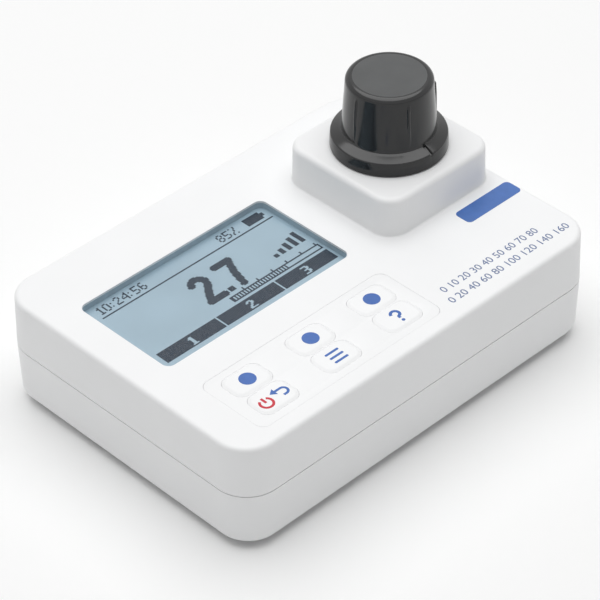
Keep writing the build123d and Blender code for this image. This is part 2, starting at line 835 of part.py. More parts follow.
# Screws and ring seal that fix the holder under the turret
with BuildPart() as holder_screws:
    screws(holder_screw_places, flange_bottom, board_screw_head, board_screw_head_height,
           board_screw_radius, turret_inside)
holder_screws.part.label = "holder_screws"
export_step(holder_screws.part, "parts/holder_screws.step")
with BuildPart() as well_seal:
    round_posts([(well_x, well_y)], holder_radius + seal_width, flange_top, turret_inside)
    round_posts([(well_x, well_y)], holder_radius + close_fit, flange_top, turret_inside, Mode.SUBTRACT)
well_seal.part.label = "well_seal"
export_step(well_seal.part, "parts/well_seal.step")

# Bowed leaf that steadies the cuvette
leaf_direction = Vector(1, 0, 0).rotate(Axis.Z, leaf_angle)
leaf_plane = Plane(
    origin=(well_x, well_y, 0),
    x_dir=leaf_direction,
    z_dir=leaf_direction.cross(Vector(0, 0, 1)),
)
with BuildPart() as cell_spring:
    with BuildSketch(leaf_plane):
        with BuildLine():
            ThreePointArc(
                (bore_radius + leaf_groove_depth - leaf_thickness, leaf_bottom),
                (bore_radius + leaf_thickness, leaf_bottom + leaf_height / 2),
                (bore_radius + leaf_groove_depth - leaf_thickness, leaf_bottom + leaf_height),
            )
        trace(line_width=leaf_thickness)
    extrude(amount=leaf_width / 2, both=True)
cell_spring.part.label = "cell_spring"
export_step(cell_spring.part, "parts/cell_spring.step")

# Lamp side: filter, spacer, lens, plug with the lamp, and the lamp's board
with BuildPart() as interference_filter:
    optic_disc(optic_radius, filter_front, -filter_seat)
interference_filter.part.label = "interference_filter"
export_step(interference_filter.part, "parts/interference_filter.step")
with BuildPart() as filter_spacer:
    optic_disc(optic_radius, spacer_front, filter_front)
    optic_disc(optic_radius - spacer_wall, spacer_front, filter_front, Mode.SUBTRACT)
filter_spacer.part.label = "filter_spacer"
export_step(filter_spacer.part, "parts/filter_spacer.step")
with BuildPart() as lamp_lens:
    lens(spacer_front, -1)
lamp_lens.part.label = "lamp_lens"
export_step(lamp_lens.part, "parts/lamp_lens.step")
with BuildPart() as lamp_plug:
    optic_disc(optic_radius, lamp_end, plug_back)
    optic_disc(lamp_radius + screw_fit, lamp_end, plug_back, Mode.SUBTRACT)
    optic_disc(lamp_flange_radius + close_fit, lamp_end, lamp_end + lamp_flange, Mode.SUBTRACT)
lamp_plug.part.label = "lamp_plug"
export_step(lamp_plug.part, "parts/lamp_plug.step")
with BuildPart() as lamp_led:
    optic_disc(lamp_flange_radius, lamp_end, lamp_end + lamp_flange)
    optic_disc(lamp_radius, lamp_end + lamp_flange, lamp_end + lamp_flange + lamp_body)
    fillet(lamp_led.faces().sort_by(Axis.Y)[-1].edges(), lamp_tip_share * lamp_radius)
lamp_led.part.label = "lamp_led"
export_step(lamp_led.part, "parts/lamp_led.step")
with BuildPart() as lamp_board:
    optic_block(lamp_board_size, lamp_board_size, lamp_end - board_thickness, lamp_end)
lamp_board.part.label = "lamp_board"
export_step(lamp_board.part, "parts/lamp_board.step")

# Beam splitter, a glass plate at 45 degrees, and the reference detector above it
with BuildPart() as beam_splitter:
    with BuildSketch(Plane.YZ.offset(well_x)):
        with Locations(Location((chamber_y, optic_level), 45)):
            Rectangle(splitter_length, splitter_thickness)
    extrude(amount=splitter_chamber / 2 - close_fit, both=True)
beam_splitter.part.label = "beam_splitter"
export_step(beam_splitter.part, "parts/beam_splitter.step")
with BuildPart() as reference_detector:
    reference_seat = optic_level + barrel_height / 2
    round_posts([(well_x, chamber_y)], detector_radius, reference_seat - detector_can_height,
                reference_seat)
    round_posts([(well_x, chamber_y)], detector_flange_radius, reference_seat,
                reference_seat + detector_flange)
reference_detector.part.label = "reference_detector"
export_step(reference_detector.part, "parts/reference_detector.step")

# Detector side: lens, photodetector and its board
with BuildPart() as detector_lens:
    lens(chamber_front, 1)
detector_lens.part.label = "detector_lens"
export_step(detector_lens.part, "parts/detector_lens.step")
with BuildPart() as signal_detector:
    optic_disc(detector_flange_radius, detector_end - detector_flange, detector_end)
    optic_disc(detector_radius, detector_end - detector_flange - detector_can_height, detector_end)
signal_detector.part.label = "signal_detector"
export_step(signal_detector.part, "parts/signal_detector.step")
with BuildPart() as detector_board:
    optic_block(detector_board_width, detector_board_height, detector_end,
                detector_end + board_thickness)
detector_board.part.label = "detector_board"
export_step(detector_board.part, "parts/detector_board.step")

# Three cells, the middle one turned round
cell_rows = {"battery_cell_1": (-1, 1), "battery_cell_2": (0, -1), "battery_cell_3": (1, 1)}
for name, (row, facing) in cell_rows.items():
    tip = bay_x + facing * (bay_length / 2 - contact_thickness)
    with BuildPart() as cell:
        with BuildSketch(Plane.YZ.offset(tip - facing * cell_nub_length)):
            with Locations((row * cell_pitch, cell_level)):
                Circle(cell_radius)
        extrude(amount=-facing * cell_body_length)
        with BuildSketch(Plane.YZ.offset(tip)):
            with Locations((row * cell_pitch, cell_level)):
                Circle(cell_nub_radius)
        extrude(amount=-facing * cell_nub_length)
    cell.part.label = name
    export_step(cell.part, f"parts/{name}.step")

# Flat contacts for the positive ends and bowed leaves for the negative ends
with BuildPart() as battery_plates:
    for row, facing in cell_rows.values():
        with BuildSketch(Plane.YZ.offset(bay_x + facing * bay_length / 2)):
            with Locations((row * cell_pitch, cell_level)):
                Rectangle(contact_width, contact_width)
        extrude(amount=-facing * contact_thickness)
battery_plates.part.label = "battery_plates"
export_step(battery_plates.part, "parts/battery_plates.step")
with BuildPart() as battery_leaves:
    for row, facing in cell_rows.values():
        wall_x = bay_x - facing * (bay_length / 2 - contact_thickness / 2)
        touch_x = wall_x + facing * (leaf_room - contact_thickness - slip_fit)
        half = leaf_contact_height / 2
        with BuildSketch(Plane.XZ.offset(-row * cell_pitch)):
            with BuildLine():
                Polyline(
                    (wall_x, cell_level - half),
                    (wall_x, cell_level + half),
                    (touch_x, cell_level),
                    (touch_x - facing * leaf_tail, cell_level - half / 2),
                )
            trace(line_width=contact_thickness)
        extrude(amount=contact_width / 2, both=True)
battery_leaves.part.label = "battery_leaves"
export_step(battery_leaves.part, "parts/battery_leaves.step")

# Battery cover: a flush plate with a locating lip, ribs under the cells and screw recesses
with BuildPart() as battery_cover:
    plate(bay_x, 0, cover_length, cover_width, foot_height, cover_inside, cover_corner)
    plate(bay_x, 0, bay_length - 2 * slip_fit, bay_width - 2 * slip_fit, cover_inside,
          cover_inside + cover_lip_height)
    plate(bay_x, 0, bay_length - 2 * (slip_fit + cover_lip), bay_width - 2 * (slip_fit + cover_lip),
          cover_inside, cover_inside + cover_lip_height, 0, Mode.SUBTRACT)
    for side in (-1, 1):
        plate(bay_x + side * cell_body_length / 4, 0, cover_rib_width,
              bay_width - 2 * (slip_fit + cover_lip), cover_inside, rib_top)
    round_posts(cover_screw_places, board_screw_radius + screw_fit, foot_height, cover_inside,
                Mode.SUBTRACT)
    round_posts(cover_screw_places, board_screw_head + close_fit, foot_height,
                foot_height + board_screw_head_height, Mode.SUBTRACT)
battery_cover.part.label = "battery_cover"
export_step(battery_cover.part, "parts/battery_cover.step")
with BuildPart() as battery_gasket:
    cover_gasket_ring(screw_fit, cover_gasket_depth)
battery_gasket.part.label = "battery_gasket"
export_step(battery_gasket.part, "parts/battery_gasket.step")
with BuildPart() as cover_screws:
    screws(cover_screw_places, foot_height + board_screw_head_height, board_screw_head,
           board_screw_head_height, board_screw_radius,
           cover_inside + cover_boss_height - cover_screw_stop)
cover_screws.part.label = "cover_screws"
export_step(cover_screws.part, "parts/cover_screws.step")

# Glass cuvette with a shoulder and a neck
neck_bore = neck_radius - neck_wall
cell_bore = cuvette_radius - cuvette_wall
shoulder_top = shoulder_height + shoulder_rise
with BuildPart() as cuvette:
    with BuildSketch(well_section):
        with BuildLine():
            FilletPolyline(
                (0, cuvette_bottom),
                (cuvette_radius, cuvette_bottom),
                (cuvette_radius, shoulder_height),
                (neck_radius, shoulder_top),
                (neck_radius, cuvette_top),
                radius=cuvette_wall,
            )
            Line((neck_radius, cuvette_top), (neck_bore, cuvette_top))
            FilletPolyline(
                (neck_bore, cuvette_top),
                (neck_bore, shoulder_top - cuvette_wall / 2),
                (cell_bore, shoulder_height - cuvette_wall / 2),
                (cell_bore, cuvette_bottom + cuvette_base_thickness),
                (0, cuvette_bottom + cuvette_base_thickness),
                radius=cuvette_wall,
            )
            Line((0, cuvette_bottom + cuvette_base_thickness), (0, cuvette_bottom))
        make_face()
    revolve(axis=well_axis)
cuvette.part.label = "cuvette"
export_step(cuvette.part, "parts/cuvette.step")

# Stopper in the neck
plug_radius = neck_bore - slip_fit
with BuildPart() as stopper:
    round_posts([(well_x, well_y)], stopper_flange_radius, cuvette_top, stopper_top)
    round_posts([(well_x, well_y)], plug_radius, cuvette_top - stopper_depth, cuvette_top)
    round_posts([(well_x, well_y)], plug_radius - stopper_wall,
                cuvette_top - stopper_depth + stopper_wall, stopper_top, Mode.SUBTRACT)
stopper.part.label = "stopper"
export_step(stopper.part, "parts/stopper.step")

# Cap: a knob on a conical flange, with grip ribs, an index mark and an index nib under it
cap_top = turret_height + cap_height
cap_bore = neck_radius + slip_fit
socket_top = shoulder_top + slip_fit
with BuildPart() as cuvette_cap:
    with BuildSketch(well_section):
        with BuildLine():
            Polyline(
                (bore_radius + slip_fit, cap_foot),
                (flange_radius, cap_foot),
                (flange_edge_radius, turret_height + flange_height),
                (skirt_foot_radius, turret_height + cone_height),
                (skirt_top_radius, cap_top - cap_edge),
            )
            RadiusArc(
                (skirt_top_radius, cap_top - cap_edge),
                (skirt_top_radius - cap_edge, cap_top),
                -cap_edge,
            )
            Line((skirt_top_radius - cap_edge, cap_top), (cap_dish_radius, cap_top))
            TangentArc((0, cap_top - cap_dish), (cap_dish_radius, cap_top), tangent=(1, 0))
            Polyline(
                (0, cap_top - cap_dish),
                (0, cap_top - cap_roof),
                (plug_radius - close_fit, cap_top - cap_roof),
                (plug_radius - close_fit, stopper_top + slip_fit),
                (cap_bore, stopper_top + slip_fit),
                (cap_bore, socket_top),
                (bore_radius + slip_fit, socket_top),
                (bore_radius + slip_fit, cap_foot),
            )
        make_face()
    revolve(axis=well_axis)

    # Grip ribs that stand proud at the top and fade into the skirt at their foot
    skirt_length = cap_height - cap_edge - cone_height
    rib_foot = cone_height + rib_foot_rise
    rib_tip = cap_height - rib_top_drop
    rib_foot_radius = skirt_foot_radius - skirt_taper * rib_foot_rise / skirt_length
    rib_top_radius = skirt_foot_radius - skirt_taper * (rib_tip - cone_height) / skirt_length
    for rib in range(rib_count):
        rib_direction = Vector(1, 0, 0).rotate(Axis.Z, rib_start_angle + rib * 360 / rib_count)
        rib_plane = Plane(
            origin=(well_x, well_y, turret_height),
            x_dir=rib_direction,
            z_dir=rib_direction.cross(Vector(0, 0, 1)),
        )
        with BuildSketch(rib_plane):
            Polygon(
                (rib_foot_radius - rib_root, rib_foot),
                (rib_foot_radius, rib_foot),
                (rib_top_radius + rib_proud, rib_tip),
                (rib_top_radius - rib_root, rib_tip),
                align=None,
            )
        extrude(amount=rib_width / 2, both=True)

    # Index mark across the flange's cone, and the nib that finds the holder's groove
    with BuildSketch(Plane.YZ.offset(well_x)):
        Polygon(
            (well_y - skirt_foot_radius, turret_height + cone_height + index_depth),
            (well_y - flange_radius - index_depth, turret_height + flange_height + index_depth),
            (well_y - flange_radius - index_depth, turret_height + flange_height - index_depth),
            (well_y - skirt_foot_radius, turret_height + cone_height - index_depth),
            align=None,
        )
    extrude(amount=index_width / 2, both=True, mode=Mode.SUBTRACT)
    nib_inside = bore_radius + 2 * slip_fit
    nib_outside = holder_radius - slip_fit
    plate(well_x, well_y - (nib_inside + nib_outside) / 2, nib_width, nib_outside - nib_inside,
          cap_foot - nib_depth + slip_fit, cap_foot)
cuvette_cap.part.label = "cuvette_cap"
export_step(cuvette_cap.part, "parts/cuvette_cap.step")
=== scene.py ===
import bpy
import bmesh
import json
import math
from mathutils import Matrix, Vector


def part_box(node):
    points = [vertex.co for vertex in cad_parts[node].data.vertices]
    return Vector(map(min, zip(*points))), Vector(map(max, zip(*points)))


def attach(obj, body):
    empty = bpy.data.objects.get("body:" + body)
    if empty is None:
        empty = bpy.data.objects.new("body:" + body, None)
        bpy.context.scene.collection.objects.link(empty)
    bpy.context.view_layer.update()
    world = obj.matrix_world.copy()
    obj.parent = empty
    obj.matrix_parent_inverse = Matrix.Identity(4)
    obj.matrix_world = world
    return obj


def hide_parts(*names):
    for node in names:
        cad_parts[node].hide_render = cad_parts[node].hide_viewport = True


# Portable photometer: white two-shell case, display, six-key pad, turret and black knob cap.
# Blender's metres; +X runs along the display's lines, +Y to the back, +Z up.

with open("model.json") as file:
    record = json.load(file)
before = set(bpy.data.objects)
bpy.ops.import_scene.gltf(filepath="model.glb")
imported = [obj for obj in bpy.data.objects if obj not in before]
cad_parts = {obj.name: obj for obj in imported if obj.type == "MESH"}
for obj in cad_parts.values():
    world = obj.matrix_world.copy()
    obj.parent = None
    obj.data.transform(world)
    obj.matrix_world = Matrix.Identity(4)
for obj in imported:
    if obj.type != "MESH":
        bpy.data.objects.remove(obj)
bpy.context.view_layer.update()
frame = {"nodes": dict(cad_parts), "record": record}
nodes = frame["nodes"]
slotOfNode = {part["node"]: part["material_slot"] for part in frame["record"]["subparts"]}
mm = 0.001


# Camera, floor and light

cameraValues = {
    "lens": 173.75,
    "sensor": 36,
    "azimuth": -43.932,
    "elevation": 39.189,
    "roll": -0.882,
    "distance": 0.846666,
    "aim": (0.000466, 0.001142, 0.021406),
}


def addCamera(values):
    azimuth = math.radians(values["azimuth"])
    elevation = math.radians(values["elevation"])
    roll = math.radians(values["roll"])
    back = Vector((math.sin(azimuth) * math.cos(elevation),
                   -math.cos(azimuth) * math.cos(elevation), math.sin(elevation)))
    right = Vector((math.cos(azimuth), math.sin(azimuth), 0))
    up = back.cross(right)
    right, up = (right * math.cos(roll) + up * math.sin(roll),
                 up * math.cos(roll) - right * math.sin(roll))
    data = bpy.data.cameras.new("camera")
    data.lens = values["lens"]
    data.sensor_width = values["sensor"]
    camera = bpy.data.objects.new("camera", data)
    turn = Matrix((right, up, back)).transposed().to_4x4()
    camera.matrix_world = Matrix.Translation(Vector(values["aim"]) + back * values["distance"]) @ turn
    bpy.context.scene.collection.objects.link(camera)
    bpy.context.scene.camera = camera


addCamera(cameraValues)
bpy.context.scene.view_settings.view_transform = "Standard"
print("camera placed")

studioValues = {
    "floorSize": 12.0,
    "floorColour": (0.98, 0.982, 0.98, 1),
    "floorRoughness": 0.9,
    "worldLight": 0.26,
    "whiteLevel": 1.0,
    "topSize": 2.2,
    "topPlace": (0.1, 0.2, 1.5),
    "topPower": 24.5,
}


def whiteRays(tree):
    # 1 for the rays that should see plain white: camera, glossy and transmission
    path = tree.nodes.new("ShaderNodeLightPath")
    first = tree.nodes.new("ShaderNodeMath")
    first.operation = "MAXIMUM"
    tree.links.new(path.outputs["Is Camera Ray"], first.inputs[0])
    tree.links.new(path.outputs["Is Glossy Ray"], first.inputs[1])
    second = tree.nodes.new("ShaderNodeMath")
    second.operation = "MAXIMUM"
    tree.links.new(first.outputs[0], second.inputs[0])
    tree.links.new(path.outputs["Is Transmission Ray"], second.inputs[1])
    return second.outputs[0]


def addStudio(values):
    world = bpy.data.worlds.new("studio")
    bpy.context.scene.world = world
    world.use_nodes = True
    tree = world.node_tree
    tree.nodes.clear()
    soft = tree.nodes.new("ShaderNodeBackground")
    soft.inputs["Strength"].default_value = values["worldLight"]
    white = tree.nodes.new("ShaderNodeBackground")
    white.inputs["Strength"].default_value = values["whiteLevel"]
    for background in (soft, white):
        background.inputs["Color"].default_value = (1, 1, 1, 1)
    mix = tree.nodes.new("ShaderNodeMixShader")
    output = tree.nodes.new("ShaderNodeOutputWorld")
    tree.links.new(whiteRays(tree), mix.inputs[0])
    tree.links.new(soft.outputs[0], mix.inputs[1])
    tree.links.new(white.outputs[0], mix.inputs[2])
    tree.links.new(mix.outputs[0], output.inputs[0])

    half = values["floorSize"] / 2
    mesh = bpy.data.meshes.new("floor")
    mesh.from_pydata([(-half, -half, 0), (half, -half, 0), (half, half, 0), (-half, half, 0)],
                     [], [(0, 1, 2, 3)])
    floor = bpy.data.objects.new("floor", mesh)
    bpy.context.scene.collection.objects.link(floor)
    material = bpy.data.materials.new("studioPaper")
    material.use_nodes = True
    paper = material.node_tree.nodes["Principled BSDF"]
    paper.inputs["Base Color"].default_value = values["floorColour"]
    paper.inputs["Roughness"].default_value = values["floorRoughness"]
    paper.inputs["Specular IOR Level"].default_value = 0.0
    mesh.materials.append(material)

    lamp = bpy.data.lights.new("overhead", "AREA")
    lamp.shape = "DISK"
    lamp.size = values["topSize"]
    lamp.energy = values["topPower"]
    light = bpy.data.objects.new("overhead", lamp)
    light.location = values["topPlace"]
    aim = Vector((0, 0, 0)) - light.location
    light.rotation_euler = aim.to_track_quat("-Z", "Y").to_euler()
    bpy.context.scene.collection.objects.link(light)


addStudio(studioValues)
print("floor and light ready")


# Finishes. Each has its own look, drawn from noise in the part's own place.

noiseValues = {"detail": 3.0, "grainDetail": 2.0, "rampStops": (0.35, 0.65), "rangeEnds": (0.3, 0.7)}


def startMaterial(name):
    material = bpy.data.materials.new(name)
    material.use_nodes = True
    tree = material.node_tree
    shader = tree.nodes["Principled BSDF"]
    place = tree.nodes.new("ShaderNodeTexCoord")
    return material, tree, shader, place.outputs["Object"]


def addNoise(tree, place, size, detail=noiseValues["detail"]):
    # Noise whose size is given in millimetres
    noise = tree.nodes.new("ShaderNodeTexNoise")
    noise.inputs["Scale"].default_value = 1 / (size * mm)
    noise.inputs["Detail"].default_value = detail
    tree.links.new(place, noise.inputs["Vector"])
    return noise.outputs["Fac"]


def addRamp(tree, source, low, high):
    ramp = tree.nodes.new("ShaderNodeValToRGB")
    for element, stop, colour in zip(ramp.color_ramp.elements, noiseValues["rampStops"], (low, high)):
        element.position = stop
        element.color = colour
    tree.links.new(source, ramp.inputs["Fac"])
    return ramp.outputs["Color"]


def addRange(tree, source, low, high):
    spread = tree.nodes.new("ShaderNodeMapRange")
    start, end = noiseValues["rangeEnds"]
    for socket, value in (("From Min", start), ("From Max", end), ("To Min", low), ("To Max", high)):
        spread.inputs[socket].default_value = value
    tree.links.new(source, spread.inputs["Value"])
    return spread.outputs["Result"]


def addBump(tree, source, strength, depth):
    bump = tree.nodes.new("ShaderNodeBump")
    bump.inputs["Strength"].default_value = strength
    bump.inputs["Distance"].default_value = depth * mm
    tree.links.new(source, bump.inputs["Height"])
    return bump.outputs["Normal"]


def shade(colour, factor):
    return tuple(min(1.0, c * factor) for c in colour[:3]) + (1,)


def finish(name, look):
    # A moulded, rubber, metal or glass finish from one look: colour drift, gloss drift and grain
    material, tree, shader, place = startMaterial(name)
    colour = look["colour"]
    drift = addNoise(tree, place, look["driftSize"])
    spread = look["drift"]
    tree.links.new(addRamp(tree, drift, shade(colour, 1 - spread), shade(colour, 1 + spread)),
                   shader.inputs["Base Color"])
    gloss = addNoise(tree, place, look["glossSize"])
    low, high = look["roughness"]
    tree.links.new(addRange(tree, gloss, low, high), shader.inputs["Roughness"])
    grain = addNoise(tree, place, look["grainSize"], noiseValues["grainDetail"])
    normal = addBump(tree, grain, look["grain"], look["grainDepth"])
    tree.links.new(normal, shader.inputs["Normal"])
    for socket, value in look.get("shader", {}).items():
        shader.inputs[socket].default_value = value
    return material


caseLook = {"colour": (0.925, 0.93, 0.935), "drift": 0.008, "driftSize": 22, "glossSize": 14,
            "roughness": (0.42, 0.5), "grainSize": 0.35, "grain": 0.18, "grainDepth": 0.012,
            "shader": {"Specular IOR Level": 0.35}}
looks = {
    "case_white": caseLook,
    "frame_white": dict(caseLook, colour=(0.85, 0.86, 0.87)),
    "overlay_white": dict(caseLook, colour=(0.93, 0.935, 0.94), roughness=(0.36, 0.42), grainSize=0.12,
                          grainDepth=0.005),
    "key_white": dict(caseLook, colour=(0.94, 0.945, 0.95), roughness=(0.4, 0.46), grainSize=0.12,
                      grainDepth=0.005),
    "seal_grey": {"colour": (0.25, 0.255, 0.26), "drift": 0.06, "driftSize": 6, "glossSize": 3,
                  "roughness": (0.65, 0.8), "grainSize": 0.2, "grain": 0.3, "grainDepth": 0.02},
    "seal_black": {"colour": (0.03, 0.03, 0.032), "drift": 0.1, "driftSize": 6, "glossSize": 3,
                   "roughness": (0.6, 0.8), "grainSize": 0.2, "grain": 0.3, "grainDepth": 0.02},
    "screw_steel": {"colour": (0.6, 0.605, 0.62), "drift": 0.05, "driftSize": 2, "glossSize": 0.6,
                    "roughness": (0.22, 0.38), "grainSize": 0.08, "grain": 0.2, "grainDepth": 0.004,
                    "shader": {"Metallic": 1.0}},
    "foot_rubber": {"colour": (0.055, 0.057, 0.06), "drift": 0.12, "driftSize": 3, "glossSize": 2,
                    "roughness": (0.7, 0.86), "grainSize": 0.25, "grain": 0.35, "grainDepth": 0.03},
    "light_guide": {"colour": (0.9, 0.93, 0.95), "drift": 0.01, "driftSize": 10, "glossSize": 4,
                    "roughness": (0.3, 0.42), "grainSize": 0.3, "grain": 0.1, "grainDepth": 0.01},
    "circuit_green": {"colour": (0.03, 0.2, 0.1), "drift": 0.15, "driftSize": 8, "glossSize": 3,
                      "roughness": (0.3, 0.42), "grainSize": 0.9, "grain": 0.3, "grainDepth": 0.02},
    "spring_steel": {"colour": (0.68, 0.68, 0.7), "drift": 0.04, "driftSize": 2, "glossSize": 0.8,
                     "roughness": (0.18, 0.3), "grainSize": 0.1, "grain": 0.15, "grainDepth": 0.004,
                     "shader": {"Metallic": 1.0}},
    "contact_nickel": {"colour": (0.66, 0.64, 0.6), "drift": 0.05, "driftSize": 3, "glossSize": 1,
                       "roughness": (0.2, 0.34), "grainSize": 0.1, "grain": 0.15, "grainDepth": 0.004,
                       "shader": {"Metallic": 1.0}},
    "part_black": {"colour": (0.02, 0.02, 0.022), "drift": 0.12, "driftSize": 3, "glossSize": 1.5,
                   "roughness": (0.45, 0.6), "grainSize": 0.15, "grain": 0.25, "grainDepth": 0.01},
    "holder_black": {"colour": (0.014, 0.014, 0.016), "drift": 0.12, "driftSize": 6, "glossSize": 4,
                     "roughness": (0.6, 0.75), "grainSize": 0.3, "grain": 0.3, "grainDepth": 0.02},
    "lamp_clear": {"colour": (0.85, 0.88, 0.9), "drift": 0.02, "driftSize": 3, "glossSize": 2,
                   "roughness": (0.06, 0.12), "grainSize": 0.5, "grain": 0.05, "grainDepth": 0.005,
                   "shader": {"Transmission Weight": 0.6, "IOR": 1.53}},
    "lens_glass": {"colour": (0.95, 0.97, 0.97), "drift": 0.01, "driftSize": 5, "glossSize": 3,
                   "roughness": (0.01, 0.03), "grainSize": 1.0, "grain": 0.02, "grainDepth": 0.002,
                   "shader": {"Transmission Weight": 0.95, "IOR": 1.51}},
    "filter_glass": {"colour": (0.5, 0.3, 0.58), "drift": 0.1, "driftSize": 4, "glossSize": 3,
                     "roughness": (0.03, 0.08), "grainSize": 1.0, "grain": 0.02, "grainDepth": 0.002,
                     "shader": {"Transmission Weight": 0.5, "IOR": 1.51}},
    "detector_metal": {"colour": (0.62, 0.58, 0.5), "drift": 0.05, "driftSize": 2, "glossSize": 1,
                       "roughness": (0.22, 0.34), "grainSize": 0.1, "grain": 0.15, "grainDepth": 0.004,
                       "shader": {"Metallic": 1.0}},
    "stopper_plastic": {"colour": (0.84, 0.87, 0.88), "drift": 0.02, "driftSize": 5, "glossSize": 3,
                        "roughness": (0.34, 0.46), "grainSize": 0.3, "grain": 0.12, "grainDepth": 0.01,
                        "shader": {"Subsurface Weight": 0.2, "Subsurface Scale": 0.002}},
    "cap_black": {"colour": (0.0105, 0.011, 0.0115), "drift": 0.1, "driftSize": 9, "glossSize": 6,
                  "roughness": (0.13, 0.18), "grainSize": 0.3, "grain": 0.1, "grainDepth": 0.006,
                  "shader": {"Specular IOR Level": 0.5}},
    "cuvette_glass": {"colour": (0.96, 0.985, 0.98), "drift": 0.005, "driftSize": 12, "glossSize": 8,
                      "roughness": (0.01, 0.03), "grainSize": 4, "grain": 0.03, "grainDepth": 0.01,
                      "shader": {"Transmission Weight": 1.0, "IOR": 1.5}},
    "window_clear": {"colour": (0.08, 0.09, 0.1), "drift": 0.005, "driftSize": 15, "glossSize": 9,
                     "roughness": (0.04, 0.08), "grainSize": 2, "grain": 0.02, "grainDepth": 0.002,
                     "shader": {"Alpha": 0.03, "IOR": 1.49}},
    "display_panel": {"colour": (0.385, 0.52, 0.612), "drift": 0.03, "driftSize": 18, "glossSize": 9,
                      "roughness": (0.3, 0.36), "grainSize": 0.5, "grain": 0.03, "grainDepth": 0.002},
    "cell_sleeve": {"colour": (0.03, 0.04, 0.06), "drift": 0.1, "driftSize": 12, "glossSize": 8,
                    "roughness": (0.2, 0.28), "grainSize": 0.5, "grain": 0.05, "grainDepth": 0.004,
                    "shader": {"Coat Weight": 0.4}},
}
# The dished top's lighter colour is painted light: a lit copy of the same black plastic
capTopPaintedLightLook = dict(looks["cap_black"], colour=(0.052, 0.055, 0.056), roughness=(0.34, 0.4), grainSize=0.2)
materials = {slotName: finish(slotName.replace("_", " "), look) for slotName, look in looks.items()}


def dress(node, material):
    for materialSlot in node.material_slots:
        materialSlot.material = material
    if not node.material_slots:
        node.data.materials.append(material)


for nodeName, node in nodes.items():
    dress(node, materials[slotOfNode[nodeName]])
print("finishes given to", len(nodes), "CAD nodes")


# Shape helpers, in millimetres

weldDistance = 1e-5  # points of a curve's solid that lie closer are one point
softEdgeSteps = 2


def roundedOutline(x, y, length, width, corner, steps=6):
    points = []
    for side, end, start in ((1, 1, 0), (-1, 1, 90), (-1, -1, 180), (1, -1, 270)):
        for step in range(steps + 1):
            angle = math.radians(start + 90 * step / steps)
            points.append((x + side * (length / 2 - corner) + corner * math.cos(angle),
                           y + end * (width / 2 - corner) + corner * math.sin(angle)))
    return points


def arcPoints(x, y, radius, start, end, steps=16):
    turns = [math.radians(start + (end - start) * step / steps) for step in range(steps + 1)]
    return [(x + radius * math.cos(turn), y + radius * math.sin(turn)) for turn in turns]


def addTile(shape, outline, bottom, top):
    # A closed flat tile from an outline that runs anticlockwise
    lower = [shape.verts.new((x * mm, y * mm, bottom * mm)) for x, y in outline]
    upper = [shape.verts.new((x * mm, y * mm, top * mm)) for x, y in outline]
    shape.faces.new(list(reversed(lower)))
    shape.faces.new(upper)
    for index in range(len(outline)):
        following = (index + 1) % len(outline)
        shape.faces.new((lower[index], lower[following], upper[following], upper[index]))


def addStroke(shape, points, width, bottom, top):
    # A line of even width through the points, with square ends
    left, right = [], []
    for index, point in enumerate(points):
        before = Vector(points[max(index - 1, 0)])
        after = Vector(points[min(index + 1, len(points) - 1)])
        along = (after - before).normalized()
        side = Vector((-along.y, along.x)) * width / 2
        left.append(tuple(Vector(point) + side))
        right.append(tuple(Vector(point) - side))
    addTile(shape, right + list(reversed(left)), bottom, top)


def addLathe(shape, profile, x, y, steps=96, sweep=None):
    # A closed profile of radius and height, turned about the upright axis at x, y
    rings = []
    for radius, height in profile:
        if radius == 0:
            rings.append([shape.verts.new((x * mm, y * mm, height * mm))])
            continue
        ring = []
        for step in range(steps):
            turn = 2 * math.pi * step / steps
            out, up = (radius, height) if sweep is None else sweep(radius, height, math.degrees(turn))
            ring.append(shape.verts.new(((x + out * math.cos(turn)) * mm,
                                         (y + out * math.sin(turn)) * mm, up * mm)))
        rings.append(ring)
    for index, ring in enumerate(rings):
        other = rings[(index + 1) % len(rings)]
        if len(ring) == 1 and len(other) == 1:
            continue
        for step in range(steps):
            following = (step + 1) % steps
            if len(ring) == 1:
                shape.faces.new((ring[0], other[step], other[following]))
            elif len(other) == 1:
                shape.faces.new((ring[step], other[0], ring[following]))
            else:
                shape.faces.new((ring[step], other[step], other[following], ring[following]))


def addLoft(shape, x, y, rings, steps=6):
    # A closed form through rounded rectangles, each given as length, width, corner and height
    loops = []
    for length, width, corner, height in rings:
        outline = roundedOutline(x, y, length, width, corner, steps)
        loops.append([shape.verts.new((px * mm, py * mm, height * mm)) for px, py in outline])
    for lower, upper in zip(loops, loops[1:]):
        for index in range(len(lower)):
            following = (index + 1) % len(lower)
            shape.faces.new((lower[index], lower[following], upper[following], upper[index]))
    shape.faces.new(list(reversed(loops[0])))
    shape.faces.new(loops[-1])


def addRing(shape, outer, inner, bottom, top):
    # An upright closed ring between two outlines of equal count
    rows = [[shape.verts.new((x * mm, y * mm, height * mm)) for x, y in outline]
            for outline, height in ((outer, bottom), (outer, top), (inner, top), (inner, bottom))]
    for index, row in enumerate(rows):
        other = rows[(index + 1) % 4]
        for step in range(len(row)):
            following = (step + 1) % len(row)
            shape.faces.new((row[step], row[following], other[following], other[step]))


def shapeFromCurve(curve):
    # The closed solid of a filled curve or of text, as an editable shape
    source = bpy.data.objects.new(curve.name, curve)
    mesh = bpy.data.meshes.new_from_object(source)
    bpy.data.objects.remove(source)
    bpy.data.curves.remove(curve)
    shape = bmesh.new()
    shape.from_mesh(mesh)
    bpy.data.meshes.remove(mesh)
    bmesh.ops.remove_doubles(shape, verts=shape.verts, dist=weldDistance)
    return shape


